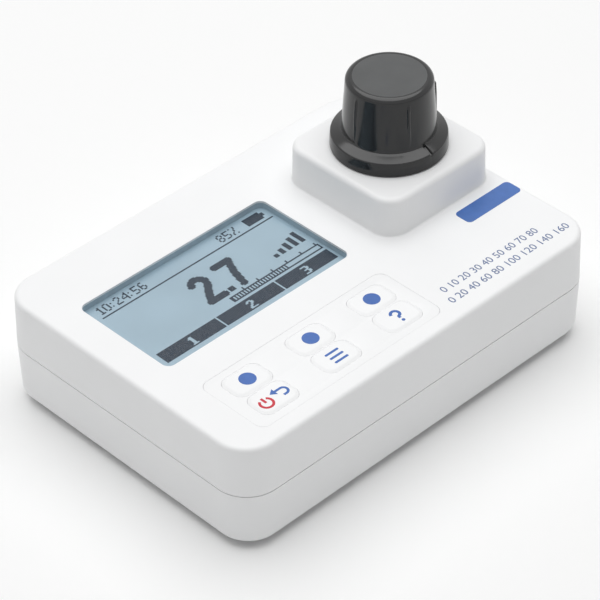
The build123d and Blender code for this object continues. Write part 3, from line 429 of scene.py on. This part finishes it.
def shapeFromOutlines(name, outlines, depth, edge):
    # A flat plate with soft edges about level 0: the first outline is its outside, the others its openings
    curve = bpy.data.curves.new(name, "CURVE")
    curve.dimensions = "2D"
    curve.fill_mode = "BOTH"
    for outline in outlines:
        spline = curve.splines.new("POLY")
        spline.points.add(len(outline) - 1)
        spline.use_cyclic_u = True
        for point, (x, y) in zip(spline.points, outline):
            point.co = (x, y, 0, 1)
    curve.extrude = depth / 2 - edge
    curve.bevel_depth = edge
    curve.bevel_resolution = softEdgeSteps
    return shapeFromCurve(curve)


def moveShape(shape, x, y, z):
    # Brings a shape drawn in millimetres about the origin to its place
    for vert in shape.verts:
        vert.co = Vector(((x + vert.co.x) * mm, (y + vert.co.y) * mm, (z + vert.co.z) * mm))


def islandBoxes(nodeName):
    # Lowest and highest corner of each separate solid of a CAD node, in millimetres
    mesh = nodes[nodeName].data
    owner = list(range(len(mesh.vertices)))

    def root(index):
        while owner[index] != index:
            owner[index] = owner[owner[index]]
            index = owner[index]
        return index

    seen = {}
    for vert in mesh.vertices:
        key = tuple(round(value / mm, 3) for value in vert.co)
        owner[vert.index] = root(seen.setdefault(key, vert.index))
    for edge in mesh.edges:
        first, second = (root(index) for index in edge.vertices)
        owner[first] = second
    groups = {}
    for vert in mesh.vertices:
        groups.setdefault(root(vert.index), []).append(vert.co / mm)
    return sorted((tuple(min(co[axis] for co in group) for axis in range(3)),
                   tuple(max(co[axis] for co in group) for axis in range(3))) for group in groups.values())


def placePiece(name, shape, body, material, smooth=None):
    # Turns the shape into a piece that rides on a body and wears the given finish
    bmesh.ops.recalc_face_normals(shape, faces=shape.faces)
    mesh = bpy.data.meshes.new(name)
    shape.to_mesh(mesh)
    shape.free()
    mesh.materials.append(material)
    if smooth is not None:
        mesh.shade_smooth()
        mesh.set_sharp_from_angle(angle=math.radians(smooth))
    piece = bpy.data.objects.new(name, mesh)
    bpy.context.scene.collection.objects.link(piece)
    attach(piece, body)
    return piece


def inkFinish(name, colour, roughness=(0.45, 0.55)):
    return finish(name, {"colour": colour, "drift": 0.05, "driftSize": 3, "glossSize": 2,
                         "roughness": roughness, "grainSize": 0.15, "grain": 0.15, "grainDepth": 0.003})


inkBlue = inkFinish("print blue", (0.05, 0.14, 0.44))
inkRed = inkFinish("print red", (0.56, 0.022, 0.04))
inkSlate = inkFinish("print slate", (0.1, 0.15, 0.3))
plateBlue = inkFinish("label blue", (0.045, 0.14, 0.43), (0.34, 0.42))
pixelDark = inkFinish("display pixels", (0.015, 0.03, 0.052), (0.4, 0.5))
# The window's edge print, coloured like the lit display: painted light over the shade of the deck's lip
windowEdgePrintAndPaintedLight = inkFinish("window edge print and painted light", (0.42, 0.53, 0.6))
plateSilver = inkFinish("bare silver plate", (0.6, 0.61, 0.63), (0.3, 0.4))
markWhite = inkFinish("cuvette mark", (0.8, 0.81, 0.82))
bandBlue = inkFinish("cell band", (0.05, 0.16, 0.3), (0.25, 0.32))


# Display: dots of the liquid-crystal cell, on its glass under the window

displayValues = {
    "left": -56.0, "back": 28.5, "pitchX": 0.5234, "pitchY": 0.5125, "columns": 128, "rows": 64,
    "dotGap": 0.03, "dotHeight": 0.05, "clock": "10:24:56", "charge": "85%", "reading": "2.7",
    "keys": "123", "keyBars": ((0, 42), (44, 86), (88, 127)), "keyRows": (54, 63), "keySign": (-2, 2, 2),
    "level": 0.62,
    "textRow": 1, "clockColumn": 1, "chargeColumn": 91, "lineRow": 10,
    "cellSign": (112, 124, 1, 8), "cellNub": (124, 126, 3, 6),
    "readingPlace": (50, 19.5), "readingWeight": 2.3, "digitStep": 15,
    "pointStart": (1.2, 22), "pointEnd": (1.8, 22), "pointWeight": 2.2, "pointStep": 5.5,
    "barCount": 5, "barColumn": 103, "barStep": 5, "barWidth": 3, "barTop": 37, "barRise": 2, "barFoot": 40,
    "scaleStart": 60, "scaleEnd": 127, "scaleTop": 47, "scaleFoot": 51, "tickStep": 11, "tickRows": (45, 46),
    "windowLand": 2.2, "windowCorner": 2.5, "foamInset": 0.2, "foamGap": 0.01, "printWidth": 0.3,
    "printGap": 0.02,
}

readingStrokes = {  # points of the large digits, in dots from their own upper left corner
    "2": [(2, 5), (3.5, 2.4), (6.5, 1), (9.5, 2.4), (11, 5.5), (10.4, 8.6), (8, 12), (4.6, 16.4), (1, 22.6),
          (11.4, 22.6)],
    "7": [(1, 1.6), (11.6, 1.6), (9.2, 7), (6.8, 13), (4.6, 22.8)],
}

digitColumns = 4
smallDigits = {  # seven rows of dots, from the top
    "0": "0110100110011001100110010110", "1": "0010011000100010001000100111",
    "2": "0110100100010010010010001111", "3": "1110000100010110000100011110",
    "4": "0001001101011001111100010001", "5": "1111100010001110000100011110",
    "6": "0110100010001110100110010110", "7": "1111000100010010001001000100",
    "8": "0110100110010110100110010110", "9": "0110100110010111000100010110",
    "%": "1001000100100010010010001001",
}


def textDots(dots, text, column, row, thick=1):
    # Writes small digits and colons from a column and row
    for sign in text:
        if sign == ":":
            marks, wide = [(0, 2), (0, 5)], 2
        else:
            marks, wide = [(index % digitColumns, index // digitColumns)
                           for index, bit in enumerate(smallDigits[sign]) if bit == "1"], digitColumns
        dots.update((column + across + extra, row + down) for across, down in marks for extra in range(thick))
        column += wide + thick


def strokeDots(dots, points, radius):
    # Dots whose middle lies within a radius of the line through the points
    for column in range(displayValues["columns"]):
        for row in range(displayValues["rows"]):
            for start, end in zip(points, points[1:]):
                span = Vector(end) - Vector(start)
                share = (Vector((column, row)) - Vector(start)).dot(span) / span.length_squared
                near = Vector(start) + span * min(1, max(0, share))
                if (Vector((column, row)) - near).length <= radius:
                    dots.add((column, row))
                    break


def blockDots(dots, columns, rows):
    dots.update((column, row) for column in range(*columns) for row in range(*rows))


def displayDots(values):
    dots = set()
    textDots(dots, values["clock"], values["clockColumn"], values["textRow"])
    textDots(dots, values["charge"], values["chargeColumn"], values["textRow"])
    blockDots(dots, (0, values["columns"]), (values["lineRow"], values["lineRow"] + 1))
    for sign in ("cellSign", "cellNub"):
        blockDots(dots, values[sign][:2], values[sign][2:])
    left, top = values["readingPlace"]
    for sign in values["reading"]:
        if sign == ".":
            strokes, weight = [values["pointStart"], values["pointEnd"]], values["pointWeight"]
            step = values["pointStep"]
        else:
            strokes, weight, step = readingStrokes[sign], values["readingWeight"], values["digitStep"]
        strokeDots(dots, [(left + x, top + y) for x, y in strokes], weight)
        left += step
    for bar in range(values["barCount"]):  # rising bars beside the reading
        column = values["barColumn"] + bar * values["barStep"]
        blockDots(dots, (column, column + values["barWidth"]), (values["barTop"] - bar * values["barRise"],
                                                                values["barFoot"]))
    start, end, top, foot = (values[name] for name in ("scaleStart", "scaleEnd", "scaleTop", "scaleFoot"))
    for column in range(start, end + 1):  # level scale under the reading
        full = column - start <= values["level"] * (end - start)
        for row in range(top, foot + 1):
            if row in (top, foot) or column in (start, end) or (full and column % 2):
                dots.add((column, row))
        if (column - start) % values["tickStep"] == 0 and start < column < end:
            dots.update((column, row) for row in values["tickRows"])
    first, last = values["keyRows"]
    across, down, thick = values["keySign"]
    for (start, end), sign in zip(values["keyBars"], values["keys"]):
        bar, pale = set(), set()
        blockDots(bar, (start, end + 1), (first, last + 1))
        textDots(pale, sign, (start + end) // 2 + across, first + down, thick)
        dots |= bar - pale
    return dots


def addDisplayDots(values):
    shape = bmesh.new()
    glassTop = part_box("display_glass")[1].z / mm
    gap = values["dotGap"] / 2
    for column, row in sorted(displayDots(values)):
        left = values["left"] + column * values["pitchX"] + gap
        right = values["left"] + (column + 1) * values["pitchX"] - gap
        back = values["back"] - row * values["pitchY"] - gap
        front = values["back"] - (row + 1) * values["pitchY"] + gap
        addTile(shape, [(left, front), (right, front), (right, back), (left, back)],
                glassTop, glassTop + values["dotHeight"])
    placePiece("displayDots", shape, "housing", pixelDark)


def addWindowEdge(values):
    # Foam frame on the cell, and the window's printed edge over it, right under the deck's lip; both are
    # coloured like the lit display, as painted light over the shade under the lip
    shape = bmesh.new()
    low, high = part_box("display_window")
    x, y = (low.x + high.x) / 2 / mm, (low.y + high.y) / 2 / mm
    land, corner = values["windowLand"], values["windowCorner"]
    length, width = (high.x - low.x) / mm - 2 * land, (high.y - low.y) / mm - 2 * land
    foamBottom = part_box("display_glass")[1].z / mm + values["foamGap"]
    foamTop, printTop = low.z / mm - values["foamGap"], high.z / mm - values["printGap"]
    inner = roundedOutline(x, y, length + 2 * values["printGap"], width + 2 * values["printGap"], corner)
    for proud, bottom, top in ((land - values["foamInset"], foamBottom, foamTop),
                               (values["printWidth"], low.z / mm, printTop)):
        addRing(shape, roundedOutline(x, y, length + 2 * proud, width + 2 * proud, corner + proud),
                inner, bottom, top)
    placePiece("windowEdge", shape, "housing", windowEdgePrintAndPaintedLight)


addDisplayDots(displayValues)
addWindowEdge(displayValues)
print("display dots placed")


# Keypad: a sheet with a window for each key, six raised pads, and a printed sign on each

sheetValues = {
    "grow": 0.11, "edge": 0.07, "corner": 3.0, "keyCorner": 3.15, "keyGap": 0.15, "arcSteps": 8, "smooth": 40,
}
padValues = {  # the slope says how far the pad's outline comes in at each height
    "grow": 0.11, "corner": 3.0, "stem": (8.0, 4.4, 0.5), "skirtFoot": 36.85, "stemFoot": 34.35,
    "arcSteps": 8, "smooth": 50,
    "slope": ((0, 37.26), (0.05, 37.3), (0.2, 37.34), (0.42, 37.44), (0.66, 37.57), (0.9, 37.67),
              (1.15, 37.725), (1.5, 37.745), (1.9, 37.75)),
}
keyNames = ("key_left", "key_middle", "key_right", "key_power", "key_menu", "key_help")


def keyBox(name):
    # Middle and size of a CAD node in plan, and its top, in millimetres
    low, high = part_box(name)
    return ((low.x + high.x) / 2 / mm, (low.y + high.y) / 2 / mm, (high.x - low.x) / mm,
            (high.y - low.y) / mm, high.z / mm)


def addSheet(values):
    x, y, length, width, top = keyBox("keypad_overlay")
    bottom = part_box("keypad_overlay")[0].z / mm
    grow, gap, edge = (2 * values[share] for share in ("grow", "keyGap", "edge"))
    loops = [roundedOutline(x, y, length + grow - edge, width + grow - edge, values["corner"],
                            values["arcSteps"])]
    for name in keyNames:
        keyX, keyY, keyLength, keyWidth, keyTop = keyBox(name)
        loops.append(roundedOutline(keyX, keyY, keyLength + gap + edge, keyWidth + gap + edge,
                                    values["keyCorner"], values["arcSteps"]))
    shape = shapeFromOutlines("keypadSheet", loops, top - bottom, values["edge"])
    moveShape(shape, 0, 0, (top + bottom) / 2)
    piece = placePiece("keypadSheet", shape, "housing", materials["overlay_white"],
                       values["smooth"])
    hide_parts("keypad_overlay")


def addPad(name, values):
    x, y, length, width, top = keyBox(name)
    rings = [values["stem"] + (values["stemFoot"],), values["stem"] + (values["skirtFoot"],)]
    for slope, height in ((0, values["skirtFoot"]),) + values["slope"]:
        inset = slope - values["grow"]
        rings.append((length - 2 * inset, width - 2 * inset, values["corner"] - inset, height))
    shape = bmesh.new()
    addLoft(shape, x, y, rings, values["arcSteps"])
    piece = placePiece(name.replace("key_", "") + "Pad", shape, name, materials["key_white"],
                       values["smooth"])
    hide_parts(name)


addSheet(sheetValues)
for keyName in keyNames:
    addPad(keyName, padValues)
print("keypad sheet and pads placed")

signValues = {  # places are from the middle of the key's top
    "print": 0.03, "line": 0.8, "dotShift": 0.15, "dotRadius": 2.55, "dotSteps": 72,
    "powerPlace": (-3.2, -0.75), "powerRadius": 1.95, "powerGap": 36, "powerStem": (0.1, 2.35),
    "powerSteps": 48, "returnPlace": (-0.1, 1.1), "headBack": 1.7, "headTip": 0.2, "headHalf": 1.35,
    "bendPlace": 3.6, "bendRadius": 1.35, "bendTurns": (80, -90), "tailPlace": 2.6,
    "menuPlace": (-0.05, -0.15), "menuLength": 5.1, "menuPitch": 2.0, "menuCorner": 0.35, "menuSteps": 3,
    "helpPlace": (-0.1, 0.85), "helpRadius": 1.35, "helpTurns": (170, -45), "helpSteps": 20,
    "helpStem": ((-0.05, -0.5), (-0.1, -1.25)), "helpLine": 0.95, "helpDot": (-0.1, -2.45, 0.55, 24),
}


def startSign(name):
    x, y, length, width, top = keyBox(name)
    return bmesh.new(), x, y, top, top + signValues["print"]


def addDisc(shape, x, y, radius, steps, low, high):
    addTile(shape, arcPoints(x, y, radius, 0, 360 - 360 / steps, steps - 1), low, high)


def addSoftKeyDot(name, values):
    sign, x, y, low, high = startSign(name)
    addDisc(sign, x + values["dotShift"], y, values["dotRadius"], values["dotSteps"], low, high)
    placePiece(name.replace("key_", "") + "Dot", sign, name, inkBlue)


def addPowerSign(values):
    sign, x, y, low, high = startSign("key_power")
    x, y, gap = x + values["powerPlace"][0], y + values["powerPlace"][1], values["powerGap"]
    addStroke(sign, arcPoints(x, y, values["powerRadius"], 90 + gap, 450 - gap, values["powerSteps"]),
              values["line"], low, high)
    addStroke(sign, [(x, y + level) for level in values["powerStem"]], values["line"], low, high)
    placePiece("powerSign", sign, "key_power", inkRed)


def addReturnSign(values):
    sign, x, y, low, high = startSign("key_power")
    headX, headY = x + values["returnPlace"][0], y + values["returnPlace"][1]
    back, half, bend = headX + values["headBack"], values["headHalf"], values["bendRadius"]
    bendX = x + values["bendPlace"]
    addTile(sign, [(headX - values["headTip"], headY), (back, headY - half), (back, headY + half)], low, high)
    turn = arcPoints(bendX, headY - bend, bend, *values["bendTurns"])
    addStroke(sign, [(back, headY), (bendX, headY)] + turn + [(x + values["tailPlace"], headY - 2 * bend)],
              values["line"], low, high)
    placePiece("returnSign", sign, "key_power", inkBlue)


def addMenuSign(values):
    sign, x, y, low, high = startSign("key_menu")
    x, y = x + values["menuPlace"][0], y + values["menuPlace"][1]
    for step in (-1, 0, 1):
        addTile(sign, roundedOutline(x, y + step * values["menuPitch"], values["menuLength"], values["line"],
                                     values["menuCorner"], values["menuSteps"]), low, high)
    placePiece("menuSign", sign, "key_menu", inkBlue)


def addHelpSign(values):
    sign, x, y, low, high = startSign("key_help")
    bow = arcPoints(x + values["helpPlace"][0], y + values["helpPlace"][1], values["helpRadius"],
                    *values["helpTurns"], values["helpSteps"])
    addStroke(sign, bow + [(x + across, y + up) for across, up in values["helpStem"]], values["helpLine"],
              low, high)
    across, up, radius, steps = values["helpDot"]
    addDisc(sign, x + across, y + up, radius, steps, low, high)
    placePiece("helpSign", sign, "key_help", inkBlue)


for keyName in keyNames[:3]:
    addSoftKeyDot(keyName, signValues)
addPowerSign(signValues)
addReturnSign(signValues)
addMenuSign(signValues)
addHelpSign(signValues)
print("key signs placed")


# Deck prints: a bare blue plate, and plain numbers where the deck carries printing

deckValues = {
    "print": 0.03, "plate": (58.2, -19.8, 22.9, 6.4, 1.5), "plateHeight": 0.06,
    "roundness": 4,
    "upperLine": ("0 10 20 30 40 50 60 70 80", 18.2, -39.9, 2.6, 40),
    "lowerLine": ("0 20 40 60 80 100 120 140 160", 16.4, -44.8, 2.6, 50),
}
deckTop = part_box("keypad_overlay")[1].z / mm


def addNumbers(name, line, material):
    # Plain numbers as thin closed solids on the deck, stretched to a given length
    text, left, bottom, height, length = line
    curve = bpy.data.curves.new(name, "FONT")
    curve.body = text
    curve.extrude = 0.5  # only for now: the stretch below sets the depth
    curve.resolution_u = deckValues["roundness"]
    shape = shapeFromCurve(curve)
    low = [min(vert.co[axis] for vert in shape.verts) for axis in range(3)]
    high = [max(vert.co[axis] for vert in shape.verts) for axis in range(3)]
    spans = ((left, length), (bottom, height), (deckTop, deckValues["print"]))
    for vert in shape.verts:
        vert.co = Vector([(start + (vert.co[axis] - low[axis]) * size / (high[axis] - low[axis])) * mm
                          for axis, (start, size) in enumerate(spans)])
    placePiece(name, shape, "housing", material)


addNumbers("upperNumbers", deckValues["upperLine"], inkSlate)
addNumbers("lowerNumbers", deckValues["lowerLine"], inkSlate)
plate = bmesh.new()
addTile(plate, roundedOutline(*deckValues["plate"]), deckTop, deckTop + deckValues["plateHeight"])
placePiece("bluePlate", plate, "housing", plateBlue)
print("deck prints placed")


# Knob cap: turned in one piece, with five grip ribs and an index cut across its flange

capValues = {
    "foot": 50.5, "flangeRadius": 17.7, "flangeTop": 55.05, "flangeDraft": 0.2, "skirtFoot": 14.2,
    "skirtFootHeight": 56.3, "skirtTop": 13.1, "top": 74.5, "edge": 1.7, "dish": 0.35, "dishRadius": 11.0,
    "bore": 12.9, "neckBore": 9.9, "socketTop": 52.2, "neckTop": 65.5, "plugBore": 7.65, "roof": 71.7,
    "ribCount": 5, "ribStart": 249, "ribWidth": 1.0, "ribProud": 0.5, "ribTop": 71.6, "ribFoot": 57.4,
    "ribSlope": 1.4, "ribFade": 0.5, "indexTurn": 270, "indexWidth": 0.8, "indexDepth": 0.7,
    "indexSides": (1.6, 0.7), "footRound": 0.3, "coneStart": (0.4, 0.12), "coneEnd": (0.35, 0.08),
    "rimRound": ((-0.02, 0.35), (0.08, 0.1), (0.3, -0.08)), "skirtRound": (0.1, 0.4),
    "dishEdge": 0.03, "dishMiddle": (0.6, 0.65), "wallMargin": 2, "coneMargin": (0.05, 0.5, 0.2),
    "coneSteps": 4, "skirtSteps": 24, "edgeSteps": 8, "steps": 720, "smooth": 32,
}
wellX = (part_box("cuvette_cap")[0].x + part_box("cuvette_cap")[1].x) / 2 / mm
wellY = (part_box("well_seal")[0].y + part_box("well_seal")[1].y) / 2 / mm


def capProfile(values):
    # Radius and height of each point, up the outside and down the inside
    top, edge, dish = values["top"], values["edge"], values["dish"]
    flangeTop, skirtFoot, skirtHeight = values["flangeTop"], values["skirtFoot"], values["skirtFootHeight"]
    foot, footRound = values["foot"], values["footRound"]
    outer = [(values["bore"], foot), (values["flangeRadius"] - footRound, foot),
             (values["flangeRadius"], foot + footRound)]
    rim = values["flangeRadius"] - values["flangeDraft"]
    outer += [(rim - across, flangeTop - down) for across, down in values["rimRound"]]
    startIn, startUp = values["coneStart"]
    endOut, endDown = values["coneEnd"]
    coneLength = rim - startIn - skirtFoot - endOut
    coneRise = skirtHeight - flangeTop - endDown - startUp
    for step in range(values["coneSteps"] + 1):
        share = step / values["coneSteps"]
        outer.append((rim - startIn - coneLength * share, flangeTop + startUp + coneRise * share))
    skirtOut, skirtUp = values["skirtRound"]
    outer += [(skirtFoot + skirtOut, skirtHeight + endDown), (skirtFoot, skirtHeight + skirtUp)]
    for step in range(1, values["skirtSteps"] + 1):
        share = step / values["skirtSteps"]
        outer.append((skirtFoot + (values["skirtTop"] - skirtFoot) * share,
                      skirtHeight + skirtUp + (top - edge - skirtHeight - skirtUp) * share))
    outer += arcPoints(values["skirtTop"] - edge, top - edge, edge, 0, 90, values["edgeSteps"])[1:]
    share, depth = values["dishMiddle"]
    outer += [(values["dishRadius"], top - values["dishEdge"]),
              (values["dishRadius"] * share, top - dish * depth), (0, top - dish)]
    plugBore, neckBore, neckTop = values["plugBore"], values["neckBore"], values["neckTop"]
    inner = [(0, values["roof"]), (plugBore, values["roof"]), (plugBore, neckTop), (neckBore, neckTop),
             (neckBore, values["socketTop"]), (values["bore"], values["socketTop"])]
    return outer + inner


def capSweep(values):
    # Moves the skirt out at the ribs and the flange's cone down at the index cut
    ribFoot, ribTop, wall = values["ribFoot"], values["ribTop"], values["neckBore"] + values["wallMargin"]
    outside, below, above = values["coneMargin"]
    coneLow, coneHigh = values["flangeTop"] - below, values["skirtFootHeight"] + above
    reach, side = values["indexSides"]

    def distance(radius, turn, middle, width):
        # How far a point lies from the middle of a rib or cut, in half widths
        return math.radians(abs((turn - middle + 180) % 360 - 180)) * radius / (width / 2)

    def sweep(radius, height, turn):
        if radius > wall and ribFoot < height < ribTop:
            for rib in range(values["ribCount"]):
                across = distance(radius, turn, values["ribStart"] + 360 * rib / values["ribCount"],
                                  values["ribWidth"])
                if across < 1:
                    rise = min(1, (height - ribFoot) / (ribTop - ribFoot) * values["ribSlope"])
                    fade = min(1, (ribTop - height) / values["ribFade"])
                    radius += values["ribProud"] * rise * fade * (1 - across ** 2) ** 0.5
        across = distance(radius, turn, values["indexTurn"], values["indexWidth"])
        onCone = radius > values["skirtFoot"] + outside and coneLow < height < coneHigh
        if onCone and across < reach:
            height -= values["indexDepth"] * min(1, (reach - across) / side)
        return radius, height
    return sweep


cap = bmesh.new()
addLathe(cap, capProfile(capValues), wellX, wellY, capValues["steps"], capSweep(capValues))
capPiece = placePiece("knobCap", cap, "cuvette_cap", materials["cap_black"],
                      capValues["smooth"])
capPiece.data.materials.append(finish("cap top painted light", capTopPaintedLightLook))
for face in capPiece.data.polygons:  # the dished top is duller than the skirt, and lighter in colour as painted light from above
    middle = face.center / mm
    fromAxis = math.hypot(middle.x - wellX, middle.y - wellY)
    if middle.z > capValues["top"] - capValues["edge"] and fromAxis < capValues["dishRadius"]:
        face.material_index = 1
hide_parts("cuvette_cap")
print("knob cap turned")


# Screws: pan heads with a cross recess, and shanks with a rolled thread

screwSizes = {  # radius and height of the head, radius and pitch of the thread
    "case_screws": (2.7, 1.8, 1.45, 1.1), "cover_screws": (2.0, 1.3, 1.05, 0.85),
    "board_screws": (2.0, 1.3, 1.05, 0.85), "keypad_screws": (2.0, 1.3, 1.05, 0.85),
    "holder_screws": (2.0, 1.3, 1.05, 0.85),
}
screwValues = {  # shares of the head's height and radius, of the thread's radius and of its pitch
    "recess": 0.55, "arm": 0.56, "armHalf": 0.14, "edge": 0.16, "core": 0.78, "neck": 0.7, "tip": 0.15,
    "threadStart": 0.3, "thread": (0.42, 0.5, 0.92), "overlap": 0.02, "headSteps": 48, "shankSteps": 32,
    "smooth": 30,
}


def addScrew(shape, x, y, low, high, sizes, values):
    headRadius, headHeight, shankRadius, pitch = sizes
    recess, edge = headHeight * values["recess"], headRadius * values["edge"]
    arm, half = headRadius * values["arm"], headRadius * values["armHalf"]
    quarter = [(half, arm), (-half, arm), (-half, half)]
    cross = [(px * ca - py * sa, px * sa + py * ca) for ca, sa in ((1, 0), (0, 1), (-1, 0), (0, -1))
             for px, py in quarter]
    steps = values["headSteps"]
    rim = arcPoints(0, 0, headRadius - edge, 0, 360 - 360 / steps, steps - 1)
    head = shapeFromOutlines("screwHead", (rim, cross), recess, edge / 2)
    moveShape(head, x, y, low + recess / 2)
    mesh = bpy.data.meshes.new("screwHead")
    head.to_mesh(mesh)
    head.free()
    shape.from_mesh(mesh)
    bpy.data.meshes.remove(mesh)
    floor, seat, core = low + recess - values["overlap"], low + headHeight, shankRadius * values["core"]
    profile = [(0, floor), (headRadius - edge, floor), (headRadius, low + recess + edge), (headRadius, seat),
               (core, seat)]
    level = seat + values["threadStart"]
    climb, crest, fall = (pitch * share for share in values["thread"])
    while level + pitch < high - shankRadius:
        profile += [(core, level), (shankRadius, level + climb), (shankRadius, level + crest),
                    (core, level + fall)]
        level += pitch
    profile += [(shankRadius * values["neck"], level), (shankRadius * values["tip"], high), (0, high)]
    addLathe(shape, profile, x, y, values["shankSteps"])


for screwSet, sizes in screwSizes.items():
    screws = bmesh.new()
    for low, high in islandBoxes(screwSet):
        addScrew(screws, (low[0] + high[0]) / 2, (low[1] + high[1]) / 2, low[2], high[2], sizes, screwValues)
    body = "battery_cover" if screwSet == "cover_screws" else "housing"
    piece = placePiece(screwSet.replace("_s", "S"), screws, body, materials["screw_steel"],
                       screwValues["smooth"])
    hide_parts(screwSet)
print("screws cut")


# Small marks: the fill line of the cuvette, bands on the cells, and a bare plate underneath

markValues = {
    "fillLevel": 40.5, "fillWidth": 0.45, "proud": 0.03, "fillDepth": 0.2, "fillSteps": 96,
    "bandLength": 11.0, "bandGap": 1.6, "bandDepth": 0.1, "nubLength": 1.3, "bandSteps": 64, "smooth": 30,
    "plate": (40.0, 0.0, 42.0, 28.0, 2.0), "plateThickness": 0.12, "plateBorder": 0.9, "borderOverlap": 0.01,
}


def bandProfile(inner, outer, bottom, top):
    return [(inner, bottom), (outer, bottom), (outer, top), (inner, top)]


def addFillLine(values):
    mark = bmesh.new()
    low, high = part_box("cuvette")
    radius, level = (high.x - low.x) / 2 / mm, values["fillLevel"]
    addLathe(mark, bandProfile(radius - values["fillDepth"], radius + values["proud"], level,
                               level + values["fillWidth"]), wellX, wellY, values["fillSteps"])
    placePiece("fillLine", mark, "cuvette", markWhite, values["smooth"])


def addBand(shape, name, forward, values):
    # A sleeve band about a cell that lies along X, near its raised end
    low, high = (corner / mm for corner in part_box(name))
    radius = (high.z - low.z) / 2 + values["proud"]
    if forward:
        end = high.x - values["nubLength"] - values["bandGap"]
        start = end - values["bandLength"]
    else:
        start = low.x + values["nubLength"] + values["bandGap"]
        end = start + values["bandLength"]
    count = len(shape.verts)
    addLathe(shape, bandProfile(radius - values["bandDepth"], radius, start, end), 0, 0, values["bandSteps"])
    shape.verts.ensure_lookup_table()
    middleY, middleZ = (low.y + high.y) / 2 * mm, (low.z + high.z) / 2 * mm
    for vert in shape.verts[count:]:
        vert.co = Vector((vert.co.z, middleY + vert.co.x, middleZ + vert.co.y))


def addUnderPlate(values):
    under = bmesh.new()
    x, y, length, width, corner = values["plate"]
    top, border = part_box("base_case")[0].z / mm, values["plateBorder"]
    face = top - values["plateThickness"]
    addTile(under, roundedOutline(x, y, length, width, corner), face, top)
    addRing(under, roundedOutline(x, y, length - border, width - border, corner - border / 2),
            roundedOutline(x, y, length - 2 * border, width - 2 * border, corner - border),
            face - values["proud"], face + values["borderOverlap"])
    placePiece("underPlate", under, "housing", plateSilver)


addFillLine(markValues)
bands = bmesh.new()
for cellName, forward in (("battery_cell_1", True), ("battery_cell_2", False), ("battery_cell_3", True)):
    addBand(bands, cellName, forward, markValues)
placePiece("cellBands", bands, "housing", bandBlue, markValues["smooth"])
addUnderPlate(markValues)
print("small marks placed")
